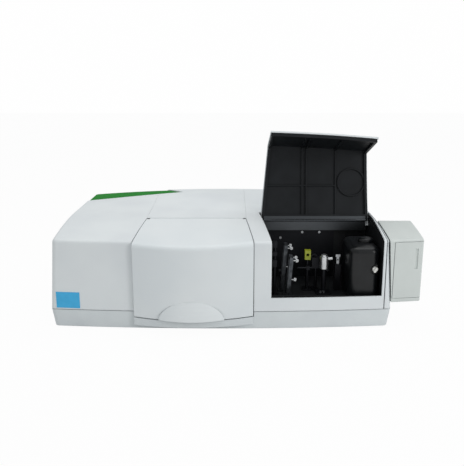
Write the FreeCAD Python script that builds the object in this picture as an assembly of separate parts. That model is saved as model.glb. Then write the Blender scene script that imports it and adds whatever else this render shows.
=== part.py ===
import FreeCAD, Part
import math
import os
from FreeCAD import Vector

os.makedirs("parts", exist_ok=True)

# Driving dimensions, in millimetres and degrees. Heights are above the bench.
# Until the pieces are written out, X runs from the middle of the body, Y from its front face.

# Body
body_width = 1020.0
body_depth = 630.0
foot_height = 6.0
foot_radius = 20.0
foot_sink = 3.0
seam_height = 59.0
seam_gap = 1.6
front_edge_height = 270.0
roof_rise = 30.0
roof_run = 300.0
roof_crown = 20.0
crown_start = 280.0
front_bow = 25.0
end_draft = 15.0
front_draft = 3.0
base_draft = 8.0
corner_round = 16.0
edge_round = 10.0
casing_wall = 4.0
base_wall = 5.0
fit_gap = 0.3
rear_window_margin = 38.0

# Green roof insert and badge plate
insert_gap = 0.5
insert_drop = 3.0
insert_front = 472.0
insert_tip_x = -150.0
insert_tip_y = 570.0
insert_rear_x = -240.0
insert_skirt = 287.0
badge_left = -491.0
badge_width = 71.0
badge_low = 65.0
badge_height = 49.0
badge_thickness = 1.2

# Sample bay and its cover
sample_left = -259.0
sample_right = 98.0
sample_taper = 20.0
cover_hinge_y = 205.0
cover_bead_radius = 5.0
cover_gap = 2.0
cover_wall = 4.0
cover_bulge = 28.0
cover_proud = 10.0
cover_round = 16.0
cover_flange = 22.0
cover_low_end = 50.0
cover_low_middle = 43.0
cover_base_gap = 3.0
hinge_pin_radius = 3.0
running_gap = 0.05
hinge_block_width = 8.0
pull_width = 195.0
pull_centre_x = -86.0
pull_height = 58.0
pull_reach = 18.0
pull_wall = 4.0
base_lip_low = 20.0
smile_overrun = 60.0

# Detector bay and its lid
bay_left = 149.0
bay_right = 478.0
bay_left_taper = 25.0
bay_right_taper = 6.0
bay_sill = 101.0
lid_hinge_y = 256.0
lid_hinge_drop = 20.0
lid_gap = 2.0
lid_skin = 3.0
lid_depth = 15.0
lid_skirt = 5.0
lid_open_angle = 109.0
liner_sheet = 3.0
liner_frame = 8.0
rib_width = 4.0
rib_depth = 6.0
ring_radius = 46.0
leaf_thickness = 1.2
leaf_pin_radius = 2.0
knuckle_radius = 4.0
knuckle_pairs = 5
knuckle_gap = 0.4
lid_leaf_height = 14.0
case_leaf_height = 34.0
end_seam_x = 486.0
end_seam_gap = 2.5
end_rib_height = 12.0
end_rib_length = 30.0
end_rib_width = 8.0

# Bay liners
liner_wall = 2.5
liner_step = 1.5
liner_drop = 3.0
bench_low = 61.0
bench_plate = 6.0
bench_rib = 8.0
bench_margin = 16.0
beam_height = 190.0
sample_beam_y = 110.0
reference_beam_y = 165.0
window_radius = 12.0

# Side box over the reflectance port
box_reach = 89.0
box_front = 27.0
box_rear = 188.0
box_low = 80.0
box_wall = 3.0
box_round = 6.0
boss_depth = 20.0
door_thickness = 5.0
door_gap = 1.0
door_edge = 1.5
slot_width = 9.0
slot_height = 62.0
slot_from_edge = 20.0
slot_low = 181.0
box_slant = 0.14
door_flange = 12.0
door_pin_radius = 1.5
port_radius = 15.0
port_y = 110.0
clamp_rod_radius = 3.5
clamp_head_radius = 14.0

# Optics in the detector bay
bay_plate_thickness = 3.0
mirror_lean = 4.5
mirror_frame = 11.0
mirror_places = [(190.0, 150.0, 120.0, 228.0), (204.0, 92.0, 105.0, 205.0)]
sphere_left = 385.0
sphere_right = 476.0
sphere_front = 45.0
sphere_rear = 205.0
sphere_high = 243.0
sphere_round = 26.0

# Rear panel
rear_sheet = 2.0
rear_reach = 12.0
rocker_swing = 16.0

origin = Vector(box_reach / 2, (body_depth - cover_bulge - pull_reach + rear_reach) / 2, 0)


def save(name, shape):
    """Write one piece, moved so that the origin is under the middle of the whole object."""
    placed = shape.copy()
    placed.translate(origin * -1)
    placed.exportStep("parts/" + name + ".step")


def block(low_x, high_x, low_y, high_y, low_z, high_z):
    corner = Vector(low_x, low_y, low_z)
    return Part.makeBox(high_x - low_x, high_y - low_y, high_z - low_z, corner)


def rod(start, end, radius):
    along = end - start
    return Part.makeCylinder(radius, along.Length, start, along)


def tube(start, end, outer, inner):
    return rod(start, end, outer).cut(rod(start, end, inner))


def joined(shapes):
    whole = shapes[0].fuse(shapes[1:]) if len(shapes) > 1 else shapes[0]
    return whole.removeSplitter()


def group(shapes):
    return Part.Compound(shapes)


def plan_prism(points, low, high):
    """Upright prism over a closed outline of plan points."""
    ring = [Vector(x, y, low) for x, y in points]
    return Part.Face(Part.makePolygon(ring + ring[:1])).extrude(Vector(0, 0, high - low))


def side_prism(points, low_x, high_x):
    """Prism along X over a closed outline of Y, Z points."""
    ring = [Vector(low_x, y, z) for y, z in points]
    return Part.Face(Part.makePolygon(ring + ring[:1])).extrude(Vector(high_x - low_x, 0, 0))


def rounded_upright(shape, radius):
    """Fillet the upright edges of a prism."""
    upright = []
    for edge in shape.Edges:
        start, end = edge.Vertexes[0].Point, edge.Vertexes[-1].Point
        if abs(end.z - start.z) > 0.7 * edge.Length and abs(end.z - start.z) > 1:
            upright.append(edge)
    return shape.makeFillet(radius, upright)


# Outer form of the body: bowed front, drafted ends, a roof that climbs and is crowned at the rear

roof_columns = 7
roof_rows = 11
roof_overhang = 90.0
roof_span = 420.0
roof_top = front_edge_height + roof_rise + roof_crown
deep = seam_height - 30


def share(height):
    return (height - seam_height) / (front_edge_height - seam_height)


def roof_height(x, y):
    across = 2 * x / body_width
    run = y - front_bow * across ** 2 * max(0.0, 1 - y / crown_start)
    climb = min(run / roof_run, 1.0)
    back = min(max((y - crown_start) / (body_depth - crown_start), 0.0), 1.0)
    crown = roof_crown * (1 - across ** 2) * math.sin(back * math.pi / 2) ** 2
    return front_edge_height + roof_rise * (1 - (1 - climb) ** 2) + crown


def roof_prism(inset):
    """Everything under the roof surface, lowered by inset."""
    grid = []
    for column in range(roof_columns):
        x = (column / (roof_columns - 1) - 0.5) * (body_width + 2 * roof_overhang)
        line = []
        for row in range(roof_rows):
            y = -roof_overhang + row / (roof_rows - 1) * (body_depth + 2 * roof_overhang)
            line.append(Vector(x, y, roof_height(x, y) - inset))
        grid.append(line)
    surface = Part.BSplineSurface()
    surface.interpolate(grid)
    return surface.toShape().extrude(Vector(0, 0, -roof_span))


def body_outline(half_width, front, rear, height):
    bow = front_bow * (2 * half_width / body_width) ** 2
    left = Vector(-half_width, front + bow, height)
    right = Vector(half_width, front + bow, height)
    rear_right = Vector(half_width, rear, height)
    rear_left = Vector(-half_width, rear, height)
    front_arc = Part.Arc(left, Vector(0, front, height), right).toShape()
    sides = Part.makePolygon([right, rear_right, rear_left, left])
    return Part.Wire([front_arc] + sides.Edges)


def casing_block(inset, low, high, widened):
    outlines = []
    for height in (low, high):
        half_width = body_width / 2 - end_draft * share(height) - inset + widened
        outlines.append(body_outline(half_width, front_draft * share(height) + inset, body_depth - inset, height))
    return Part.makeLoft(outlines, True, True)


def casing_form(inset, low=seam_height + seam_gap):
    """The casing's outer form, moved inwards by inset, with its top edge rounded."""
    upright = rounded_upright(casing_block(inset, low, roof_top + 40, 0), corner_round - inset)
    form = upright.common(roof_prism(inset))
    top_face = max(form.Faces, key=lambda face: face.CenterOfMass.z)
    return form.makeFillet(edge_round - inset, top_face.Edges)


def front_and_roof(inset):
    """Everything deeper than inset behind the front and under the roof, wider than the body."""
    return casing_block(inset, deep, roof_top + 40, roof_overhang / 2).common(roof_prism(inset))


form_outer = casing_form(0)
form_wall = casing_form(casing_wall, deep)

# Openings of the two bays, as plan outlines that flare with depth


def sample_plan(step, rear):
    """Plan outline of the sample bay, widened by step, from ahead of the front to rear."""
    front = -80.0
    slope = sample_taper / cover_hinge_y
    return [
        (sample_left - step + slope * front, front),
        (sample_right + step - slope * front, front),
        (sample_right + step - slope * rear, rear),
        (sample_left - step + slope * rear, rear),
    ]


def detector_plan(step, rear, front=-80.0):
    left_slope = bay_left_taper / lid_hinge_y
    right_slope = bay_right_taper / lid_hinge_y
    return [
        (bay_left - step - left_slope * front, front),
        (bay_right + step + right_slope * front, front),
        (bay_right + step + right_slope * rear, rear),
        (bay_left - step - left_slope * rear, rear),
    ]


def detector_well(step, rear):
    """The detector bay's outline with a straight right side, so that the wall there stays in the casing."""
    outline = detector_plan(step, rear)
    return [outline[0], (bay_right + step, outline[1][1]), (bay_right + step, outline[2][1]), outline[3]]


sample_rear = cover_hinge_y + cover_bead_radius + 1.0
flange_clear = cover_flange + 3.0
lid_lean = math.radians(lid_open_angle - 90)
lid_reach = math.cos(lid_lean) + (1 + math.sin(lid_lean)) * math.tan(lid_lean)
lid_rear = lid_hinge_y + lid_hinge_drop * lid_reach + 1.5
sample_opening = plan_prism(sample_plan(0, sample_rear), deep, roof_top + 40)
detector_opening = plan_prism(detector_plan(0, lid_rear), bay_sill, roof_top + 40)

# Casing, split into the shells over the optics, behind the sample bay and round the detector bay

insert_plan = [
    (-body_width / 2 - 20, insert_front),
    (insert_tip_x, insert_tip_y),
    (insert_rear_x, body_depth + 20),
    (-body_width / 2 - 20, body_depth + 20),
]
insert_prism = plan_prism(insert_plan, insert_skirt, roof_top + 40)
rear_half_width = body_width / 2 - end_draft - rear_window_margin
rear_window_low = seam_height + 14
rear_window_high = front_edge_height - 14
rear_window = block(
    -rear_half_width, rear_half_width, body_depth - 30, body_depth + 30, rear_window_low, rear_window_high
)
port_bore = rod(Vector(end_seam_x - 20, port_y, beam_height), Vector(body_width, port_y, beam_height), port_radius)

casing = form_outer.cut(form_wall).cut(sample_opening).cut(detector_opening)
casing = casing.cut(insert_prism).cut(rear_window).cut(port_bore)
far = body_width
left_split = sample_left + sample_taper
right_split = sample_right - sample_taper
left_casing = casing.common(block(-far, left_split, -far, far, 0, far))
rear_casing = casing.common(block(left_split, right_split, -far, far, 0, far))
right_casing = casing.common(block(right_split, end_seam_x, -far, far, 0, far))
right_end_panel = casing.common(block(end_seam_x + end_seam_gap, far, -far, far, 0, far))
save("left_casing", left_casing)
save("rear_casing", rear_casing)
save("right_casing", right_casing)
save("right_end_panel", right_end_panel)

# Green insert, let into the roof at the left rear corner

insert_inner = [
    (-body_width / 2 - 20, insert_front + insert_gap),
    (insert_tip_x - 8 * insert_gap, insert_tip_y + insert_gap),
    (insert_rear_x - 2 * insert_gap, body_depth + 20),
    (-body_width / 2 - 20, body_depth + 20),
]
insert_skin = casing_form(insert_drop).cut(casing_form(insert_drop + casing_wall, deep))
green_insert = insert_skin.common(plan_prism(insert_inner, insert_skirt + insert_gap, roof_top + 40))
save("green_insert", green_insert)

# Badge plate on the front of the left casing, left plain

badge_zone = block(badge_left, badge_left + badge_width, -50, 60, badge_low, badge_low + badge_height)
badge_plate = casing_form(-badge_thickness).common(badge_zone).cut(form_outer)
save("badge_plate", badge_plate)

# Base tray, with the lip that follows the bulge of the sample cover


def base_form(inset, low):
    outlines = []
    for height in (low, seam_height):
        taper = (seam_height - height) / (seam_height - foot_height)
        half_width = body_width / 2 - base_draft * taper - inset
        outlines.append(body_outline(half_width, front_draft * taper + inset, body_depth - inset, height))
    return rounded_upright(Part.makeLoft(outlines, True, True), corner_round - inset)


def cover_arc(reach, step, height):
    """Front arc of the sample cover in plan, moved out by reach and widened by step."""
    left = Vector(sample_left + cover_gap - step, -cover_proud + front_bow / 4 - reach, height)
    middle = Vector((sample_left + sample_right) / 2, -cover_bulge - reach, height)
    right = Vector(sample_right - cover_gap + step, front_bow / 30 - reach, height)
    return left, middle, right


def smile_prism(drop, step):
    """Everything above the smile-shaped lower edge of the sample cover, lowered by drop."""
    left = Vector(sample_left - step, -200, cover_low_end - drop)
    middle = Vector((sample_left + sample_right) / 2, -200, cover_low_middle - drop)
    right = Vector(sample_right + step, -200, cover_low_end - drop)
    lower = Part.Arc(left, middle, right).toShape()
    upper = Part.makePolygon([right, right + Vector(0, 0, 600), left + Vector(0, 0, 600), left])
    return Part.Face(Part.Wire([lower] + upper.Edges)).extrude(Vector(0, 600, 0))


lip_left, lip_middle, lip_right = cover_arc(0, 0, base_lip_low)
lip_back = body_depth / 20
lip_arc = Part.Arc(lip_left, lip_middle, lip_right).toShape()
lip_sides = Part.makePolygon([
    lip_right,
    Vector(lip_right.x, lip_back, base_lip_low),
    Vector(lip_left.x, lip_back, base_lip_low),
    lip_left,
])
lip_solid = Part.Face(Part.Wire([lip_arc] + lip_sides.Edges)).extrude(Vector(0, 0, seam_height - base_lip_low))
cover_clearance = smile_prism(cover_base_gap, smile_overrun)
cover_clearance = cover_clearance.common(block(sample_left, sample_right, -100, flange_clear, 0, far))

lip_room = block(lip_left.x, lip_right.x, -far, lip_back, 0, far)
base_hollow = base_form(base_wall, foot_height + base_wall).cut(lip_room)
base_tray = base_form(0, foot_height).fuse(lip_solid).cut(cover_clearance).cut(base_hollow)

boss_xs = [body_width * share_x for share_x in (-0.42, -0.14, 0.14, 0.42)]
boss_ys = [90.0, body_depth / 2, body_depth - 70.0]
boss_radius = 12.0
bosses = []
for boss_x in boss_xs:
    for boss_y in boss_ys:
        low = Vector(boss_x, boss_y, foot_height + base_wall - 1)
        bosses.append(rod(low, Vector(boss_x, boss_y, bench_low), boss_radius))
foot_places = [(x, y) for x in (boss_xs[0], 0.0, boss_xs[-1]) for y in (boss_ys[0], boss_ys[-1])]
sockets = []
feet = []
for foot_x, foot_y in foot_places:
    top = foot_height + foot_sink
    sockets.append(rod(Vector(foot_x, foot_y, 0), Vector(foot_x, foot_y, top), foot_radius + fit_gap))
    foot = rod(Vector(foot_x, foot_y, 0), Vector(foot_x, foot_y, top), foot_radius)
    feet.append(foot.makeFillet(1.5, [foot.Edges[0], foot.Edges[2]]))
rib_face = body_width / 2 - end_draft * share(seam_height + end_rib_height) - casing_wall - fit_gap
end_ribs = [
    block(rib_face - end_rib_width, rib_face, y, y + end_rib_length, seam_height / 2, seam_height + end_rib_height)
    for y in (body_depth * 0.3, body_depth * 0.7)
]
base_tray = joined([base_tray] + bosses + end_ribs)
for socket in sockets:
    base_tray = base_tray.cut(socket)
save("base_tray", base_tray)
save("rubber_feet", group(feet))

# Optical bench: a ribbed cast plate on the bosses of the base

bench_top = bench_low + bench_rib + bench_plate
bench_half = body_width / 2 - end_draft * share(bench_top) - bench_margin
bench_wire = body_outline(bench_half, flange_clear, body_depth - bench_margin, bench_low)
bench_solid = Part.Face(bench_wire).extrude(Vector(0, 0, bench_top - bench_low))
bench_pockets = []
pocket_columns = 7
pocket_rows = 4
pocket_width = 2 * bench_half / pocket_columns
pocket_depth = (body_depth - bench_margin - flange_clear - front_bow - 10) / pocket_rows
for column in range(pocket_columns):
    for row in range(pocket_rows):
        low_x = -bench_half + column * pocket_width + 5
        low_y = flange_clear + front_bow + row * pocket_depth + 5
        bench_pockets.append(block(
            low_x, low_x + pocket_width - 10, low_y, low_y + pocket_depth - 10, bench_low - 1, bench_low + bench_rib
        ))
boss_pads = [
    rod(Vector(x, y, bench_low), Vector(x, y, bench_low + bench_rib + 1), boss_radius) for x in boss_xs for y in boss_ys
]
optical_bench = bench_solid
for pocket in bench_pockets:
    optical_bench = optical_bench.cut(pocket)
save("optical_bench", joined([optical_bench] + boss_pads))

# Sample cover: one moulded shell whose rear edge is a bead round the hinge pins

hinge_height = roof_height(0, cover_hinge_y) - cover_bead_radius
cover_roof_x = (sample_left + sample_right) / 2


def cover_form(inset, rear):
    """Outer form of the sample cover, moved inwards by inset."""
    low = cover_low_middle - 20
    left, middle, right = cover_arc(-inset, -inset, low)
    slope = sample_taper / cover_hinge_y
    rear_left = Vector(left.x + slope * rear, rear, low)
    rear_right = Vector(right.x - slope * rear, rear, low)
    arc = Part.Arc(left, middle, right).toShape()
    sides = Part.makePolygon([right, rear_right, rear_left, left])
    prism = Part.Face(Part.Wire([arc] + sides.Edges)).extrude(Vector(0, 0, roof_span))
    form = prism.common(roof_prism(inset))
    front_edges = []
    for edge in form.Edges:
        centre = edge.CenterOfMass
        if centre.z > front_edge_height - 60 and centre.y < 30 and edge.BoundBox.XLength > 200:
            front_edges.append(edge)
    return form.makeFillet(cover_round - inset, front_edges)


cover_skin = cover_form(0, cover_hinge_y).cut(cover_form(cover_wall, cover_hinge_y + 60))
side_window = side_prism(
    [
        (cover_flange, 0),
        (cover_flange, roof_height(0, 0) - cover_flange),
        (cover_hinge_y + 20, roof_height(0, cover_hinge_y) - cover_flange - 4),
        (cover_hinge_y + 20, 0),
    ],
    -far,
    far,
)
cover_skin = cover_skin.cut(side_window).common(smile_prism(0, smile_overrun))
slope = sample_taper / cover_hinge_y
cover_left_x = sample_left + cover_gap + sample_taper
cover_right_x = sample_right - cover_gap - sample_taper
notch_depth = hinge_block_width + 2 * fit_gap
bead_left = cover_left_x + notch_depth
bead_right = cover_right_x - notch_depth
bead = rod(
    Vector(bead_left, cover_hinge_y, hinge_height), Vector(bead_right, cover_hinge_y, hinge_height), cover_bead_radius
)
notch_front = cover_hinge_y - cover_bead_radius - 2
notches = [
    block(cover_left_x - 9, bead_left, notch_front, far, 0, far),
    block(bead_right, cover_right_x + 9, notch_front, far, 0, far),
]


def pull_lip(inset):
    """Swelling under the middle of the cover's front, for the fingers."""
    sections = []
    low = cover_low_middle - 6
    steps = 6
    for step in range(steps):
        rise = step / (steps - 1) * 0.97
        half = (pull_width / 2 - inset) * math.sqrt(1 - rise ** 2)
        reach = (pull_reach - inset) * (1 - rise ** 1.6) + 0.3
        height = low + rise * (pull_height + cover_low_middle - low - inset)
        back = -cover_bulge + cover_wall - 1
        edge = -cover_bulge + 1.2
        left = Vector(pull_centre_x - half, edge, height)
        right = Vector(pull_centre_x + half, edge, height)
        arc = Part.Arc(left, Vector(pull_centre_x, -cover_bulge - reach, height), right).toShape()
        sides = Part.makePolygon([right, Vector(right.x, back, height), Vector(left.x, back, height), left])
        sections.append(Part.Wire([arc] + sides.Edges))
    return Part.makeLoft(sections, True, True)


cover_parts = cover_skin.cut(notches[0]).cut(notches[1])
pull = pull_lip(0).cut(cover_form(cover_wall / 2, cover_hinge_y + 60))
finger_space = pull_lip(pull_wall).common(block(-far, far, -far, -cover_bulge + 0.5, 0, far))
sample_cover = joined([cover_parts, bead, pull]).cut(finger_space).common(smile_prism(0, smile_overrun))
pin_bore = rod(
    Vector(bead_left - 1, cover_hinge_y, hinge_height),
    Vector(bead_left + 14, cover_hinge_y, hinge_height),
    hinge_pin_radius + running_gap,
)
far_bore = rod(
    Vector(bead_right - 14, cover_hinge_y, hinge_height),
    Vector(bead_right + 1, cover_hinge_y, hinge_height),
    hinge_pin_radius + running_gap,
)
sample_cover = sample_cover.cut(pin_bore).cut(far_bore)
save("sample_cover", sample_cover)

# Bay liners: black tubs on the bench, open to the front and the top


def tub(plan, well, rear, front, low, floor_top, inner_rear):
    """Walls between a bay's plan outline and its well, from the bench up to just under the casing."""
    outer = plan_prism(plan(liner_step + liner_wall, rear), low, roof_top)
    inner = plan_prism(well(liner_step, inner_rear), floor_top, roof_top + 1)
    walls = outer.cut(inner).common(block(-far, liner_limit, front, far, 0, far))
    return walls.common(form_above)


liner_limit = body_width / 2 - end_draft * share(roof_top) - casing_wall - 1.5
form_above = front_and_roof(casing_wall + liner_drop)
floor_low = bench_top + fit_gap
floor_high = floor_low + liner_wall
sample_liner_rear = sample_rear + liner_step
sample_tub = tub(
    sample_plan, sample_plan, sample_liner_rear + liner_wall, flange_clear, floor_low, floor_high, sample_liner_rear
)
beam_ys = (sample_beam_y, reference_beam_y)
beam_bores = [rod(Vector(-far, y, beam_height), Vector(far, y, beam_height), window_radius) for y in beam_ys]
beam_discs = [
    rod(Vector(-far, y, beam_height), Vector(far, y, beam_height), window_radius - fit_gap) for y in beam_ys
]
windows = []
for disc in beam_discs:
    windows.extend(sample_tub.common(disc).Solids)
for bore in beam_bores:
    sample_tub = sample_tub.cut(bore)
save("sample_bay_liner", sample_tub)
save("beam_windows", group(windows))

# Hinge blocks of the sample cover, each with its pin, on the rear wall of the liner

pin_length = 12.0
hinge_blocks = []
for end_x, side in ((bead_left, -1), (bead_right, 1)):
    near = end_x + side * fit_gap
    away = near + side * hinge_block_width
    body = block(
        min(near, away), max(near, away), cover_hinge_y - 4.5, sample_liner_rear, hinge_height - 14, hinge_height + 4.5
    )
    pin = rod(
        Vector(near, cover_hinge_y, hinge_height),
        Vector(near - side * pin_length, cover_hinge_y, hinge_height),
        hinge_pin_radius,
    )
    skin_room = block(-far, far, sample_rear - fit_gap, far, hinge_height + 0.7, far)
    hinge_blocks.append(joined([body.cut(skin_room), pin]))
save("cover_hinge_blocks", group(hinge_blocks))

# Cell carrier in the sample bay: a slotted plate and two cell holders in the two beams

carrier_top = floor_high + fit_gap + 8
carrier_x = (sample_left + sample_right) / 2
carrier = block(carrier_x - 90, carrier_x + 90, 60, 196, floor_high + fit_gap, carrier_top)
carrier_slots = [block(carrier_x + s - 4, carrier_x + s + 4, 76, 180, 0, far) for s in (-66, 66)]
for carrier_slot in carrier_slots:
    carrier = carrier.cut(carrier_slot)
save("cell_carrier", carrier)

cell_size = 12.6
holder_size = 26.0
holder_top = beam_height + 14
holders = []
for holder_y in beam_ys:
    body = block(
        carrier_x - holder_size / 2, carrier_x + holder_size / 2,
        holder_y - holder_size / 2, holder_y + holder_size / 2,
        carrier_top + fit_gap, holder_top,
    )
    well = block(
        carrier_x - cell_size / 2, carrier_x + cell_size / 2,
        holder_y - cell_size / 2, holder_y + cell_size / 2,
        holder_top - 45, holder_top + 1,
    )
    beam_slot = block(carrier_x - 30, carrier_x + 30, holder_y - 4, holder_y + 4, beam_height - 12, holder_top + 1)
    holders.append(body.cut(well).cut(beam_slot))
save("cell_holders", group(holders))

# Detector bay liner

detector_liner_rear = lid_rear + liner_step
detector_front = casing_wall + front_bow
detector_tub = tub(
    detector_plan, detector_well, detector_liner_rear + liner_wall, 0, floor_low, floor_high, detector_liner_rear
)
sill_wall = plan_prism(detector_plan(liner_step, detector_front + liner_wall), floor_low, bay_sill - 1)
sill_wall = sill_wall.common(form_above).cut(block(-far, far, -far, detector_front - 4, 0, far))
detector_tub = joined([detector_tub.cut(block(-far, far, -far, detector_front - 4, 0, far)), sill_wall])
liner_port = rod(Vector(bay_right, port_y, beam_height), Vector(far, port_y, beam_height), port_radius)
for bore in beam_bores:
    detector_tub = detector_tub.cut(bore.common(block(bay_left - 40, bay_left, 0, far, 0, far)))
detector_tub = detector_tub.cut(liner_port)

# Lid of the detector bay, modelled shut and then swung open about its hinge

lid_axis_height = roof_height((bay_left + bay_right) / 2, lid_hinge_y) - lid_hinge_drop
lid_axis = Vector(0, lid_hinge_y, lid_axis_height)
lid_left = bay_left - bay_left_taper + lid_gap
lid_right = bay_right + bay_right_taper - lid_gap
form_skin = front_and_roof(lid_skin)
form_liner = front_and_roof(lid_skin + fit_gap)
form_sheet = front_and_roof(lid_skin + fit_gap + liner_sheet)
form_rib = front_and_roof(lid_skin + fit_gap + liner_sheet + rib_depth)
form_rim = front_and_roof(lid_depth)


def lid_zone(step):
    """The space of the shut lid, narrowed by step on its three free sides."""
    zone = plan_prism(detector_plan(-lid_gap - step, lid_hinge_y), bay_sill + lid_gap + step, roof_top + 40)
    return zone


def opened(shape):
    turned = shape.copy()
    turned.rotate(lid_axis, Vector(1, 0, 0), -lid_open_angle)
    return turned


hinge_left = lid_left + 12
hinge_right = lid_right - 12
knuckle_length = (hinge_right - hinge_left) / (2 * knuckle_pairs)
pin_start = Vector(hinge_left, lid_hinge_y, lid_axis_height)
pin_end = Vector(hinge_right, lid_hinge_y, lid_axis_height)
leaf_top = lid_axis_height + knuckle_radius
barrel_start = Vector(lid_left, lid_hinge_y, lid_axis_height)
barrel_end = Vector(lid_right, lid_hinge_y, lid_axis_height)
barrel = tube(barrel_start, barrel_end, lid_hinge_drop, lid_hinge_drop - lid_skin)
barrel_low = lid_axis_height + lid_hinge_drop * math.sin(math.radians(37))
barrel = barrel.common(block(-far, far, lid_hinge_y, far, barrel_low, far))
lid_shell = form_outer.common(lid_zone(0)).cut(front_and_roof(lid_skirt))
lid_shell = lid_shell.cut(form_skin.common(lid_zone(lid_skin)))
skirt_end = lid_axis_height + lid_hinge_drop - lid_skin - 1
lid_shell = lid_shell.cut(block(-far, far, lid_hinge_y - 2, far, 0, skirt_end))
detector_lid = joined([lid_shell, barrel])

liner_zone = lid_zone(lid_skin + fit_gap)
inner_zone = lid_zone(lid_skin + fit_gap + liner_frame)
sheet = form_liner.common(liner_zone).cut(form_sheet)
frame = form_liner.common(liner_zone).cut(form_rim).cut(inner_zone)
rear_bar = form_liner.common(liner_zone).cut(form_rim)
rear_bar = rear_bar.common(block(-far, far, lid_hinge_y - 20, lid_hinge_y - 0.5, 0, far))
rib_layer = form_liner.common(liner_zone).cut(form_rib)
lid_middle_y = (lid_hinge_y + front_bow) / 2
rib_lines = [
    block(bay_left + 112, bay_left + 112 + rib_width, -far, far, 0, far),
    block(bay_left + 126, bay_left + 126 + rib_width, -far, far, 0, far),
    block(bay_left + 222, bay_left + 222 + rib_width, -far, far, 0, far),
    block(bay_left - 20, bay_left + 222, lid_middle_y - rib_width / 2, lid_middle_y + rib_width / 2, 120, far),
]
ring_x = bay_left + 276
ring_foot = Vector(ring_x, lid_middle_y - 10, 200)
ring = tube(ring_foot, ring_foot + Vector(0, 0, 150), ring_radius, ring_radius - rib_width)
lid_ribs = [rib_layer.common(line) for line in rib_lines] + [rib_layer.common(ring)]
lid_liner = joined([sheet, frame, rear_bar] + lid_ribs)
leaf_room = block(
    hinge_left - 1, hinge_right + 1, lid_hinge_y - lid_leaf_height - 1, lid_hinge_y + 1, -far, leaf_top + fit_gap
)
knuckle_room = rod(pin_start, pin_end, knuckle_radius + 2 * knuckle_gap)
lid_liner = lid_liner.cut(leaf_room).cut(knuckle_room)
save("detector_lid", opened(detector_lid))
save("lid_liner", opened(lid_liner))

# Piano hinge of the lid: two leaves with interleaved knuckles round one pin

def knuckles(first):
    """Every second knuckle along the pin."""
    barrels = []
    for index in range(first, 2 * knuckle_pairs, 2):
        low_x = hinge_left + index * knuckle_length + knuckle_gap / 2
        high_x = low_x + knuckle_length - knuckle_gap
        barrels.append((low_x, high_x))
    return barrels


def leaf(first, low_y, high_y, low_z, high_z):
    plate = block(hinge_left, hinge_right, low_y, high_y, low_z, high_z)
    room = rod(pin_start, pin_end, knuckle_radius + knuckle_gap)
    pieces = [plate.cut(room)]
    for low_x, high_x in knuckles(first):
        start = Vector(low_x, lid_hinge_y, lid_axis_height)
        end = Vector(high_x, lid_hinge_y, lid_axis_height)
        tongue = plate.common(block(low_x, high_x, -far, far, 0, far))
        pieces.append(rod(start, end, knuckle_radius))
        pieces.append(tongue)
    whole = joined(pieces)
    return whole.cut(rod(pin_start, pin_end, leaf_pin_radius + running_gap))


lid_leaf = leaf(0, lid_hinge_y - lid_leaf_height, lid_hinge_y, leaf_top - leaf_thickness, leaf_top)
leaf_back = lid_hinge_y + knuckle_radius
case_leaf = leaf(1, leaf_back - leaf_thickness, leaf_back, lid_axis_height - case_leaf_height, lid_axis_height)
save("lid_hinge_leaf", opened(lid_leaf))
save("case_hinge_leaf", case_leaf)
save("lid_hinge_pin", rod(pin_start, pin_end, leaf_pin_radius))

# Right side box: a shell over the reflectance port, with a door for its front


def box_front_y(x):
    """Front of the side box, which falls back a little towards its free end."""
    return box_front + (x - body_width / 2) * box_slant


def box_form(inset):
    inner_x = body_width / 2 - 40
    outer_x = body_width / 2 + box_reach - inset
    plan = [
        (inner_x, box_front_y(inner_x) + inset),
        (outer_x, box_front_y(outer_x) + inset),
        (outer_x, box_rear - inset),
        (inner_x, box_rear - inset),
    ]
    form = rounded_upright(plan_prism(plan, box_low + inset, roof_top), box_round - inset).common(roof_prism(inset))
    top_face = max(form.Faces, key=lambda face: face.CenterOfMass.z)
    return form.makeFillet(box_round - inset, top_face.Edges)


def front_strip(depth, step, low, high):
    """The front of the side box to a given depth, between two heights."""
    left_x = body_width / 2 + door_edge + step
    right_x = body_width / 2 + box_reach + 20
    plan = [
        (left_x, box_front_y(left_x) - 20),
        (right_x, box_front_y(right_x) - 20),
        (right_x, box_front_y(right_x) + depth),
        (left_x, box_front_y(left_x) + depth),
    ]
    return plan_prism(plan, low, high)


door_low = box_low + door_flange
door_high = front_edge_height - box_round
door_pivot = Vector(body_width / 2 + door_edge + 5, box_front_y(body_width / 2) + door_thickness / 2 + 0.4, 0)
box_trim = casing_block(-fit_gap, deep, roof_top + 40, 0)
trim_ahead = box_trim.copy()
trim_ahead.translate(Vector(0, -60, 0))
box_trim = box_trim.fuse(trim_ahead)
box_shell = box_form(0).cut(box_form(box_wall)).cut(box_trim)
box_shell = box_shell.cut(
    front_strip(door_thickness + door_gap, -door_edge, door_low - door_gap, door_high + door_gap)
)
flange = box_form(0).common(block(0, far, 0, far, 0, door_low - door_gap)).common(front_strip(14, -20, 0, far))
flange = flange.cut(box_trim)
brow = box_form(0).common(block(0, far, 0, far, door_high + door_gap, far)).common(front_strip(14, -20, 0, far))
brow = brow.cut(box_trim).common(block(0, far, 0, far, 0, door_high + door_gap + 3))
pivot_pins = [
    rod(door_pivot + Vector(0, 0, door_low - door_gap - 3), door_pivot + Vector(0, 0, door_low + 12), door_pin_radius),
    rod(door_pivot + Vector(0, 0, door_high - 12), door_pivot + Vector(0, 0, door_high + door_gap + 3), door_pin_radius),
]
boss_inner = body_width / 2 + box_reach - box_wall - boss_depth
clamp_y = port_y
clamp_boss = rod(
    Vector(boss_inner, clamp_y, beam_height), Vector(body_width / 2 + box_reach - 1, clamp_y, beam_height), 8
)
clamp_bore = rod(Vector(0, clamp_y, beam_height), Vector(far, clamp_y, beam_height), clamp_rod_radius + running_gap)
port_box = joined([box_shell, flange, brow, clamp_boss] + pivot_pins)
port_box = port_box.cut(clamp_bore.common(block(boss_inner - 5, far, 0, far, 0, far)))
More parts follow.
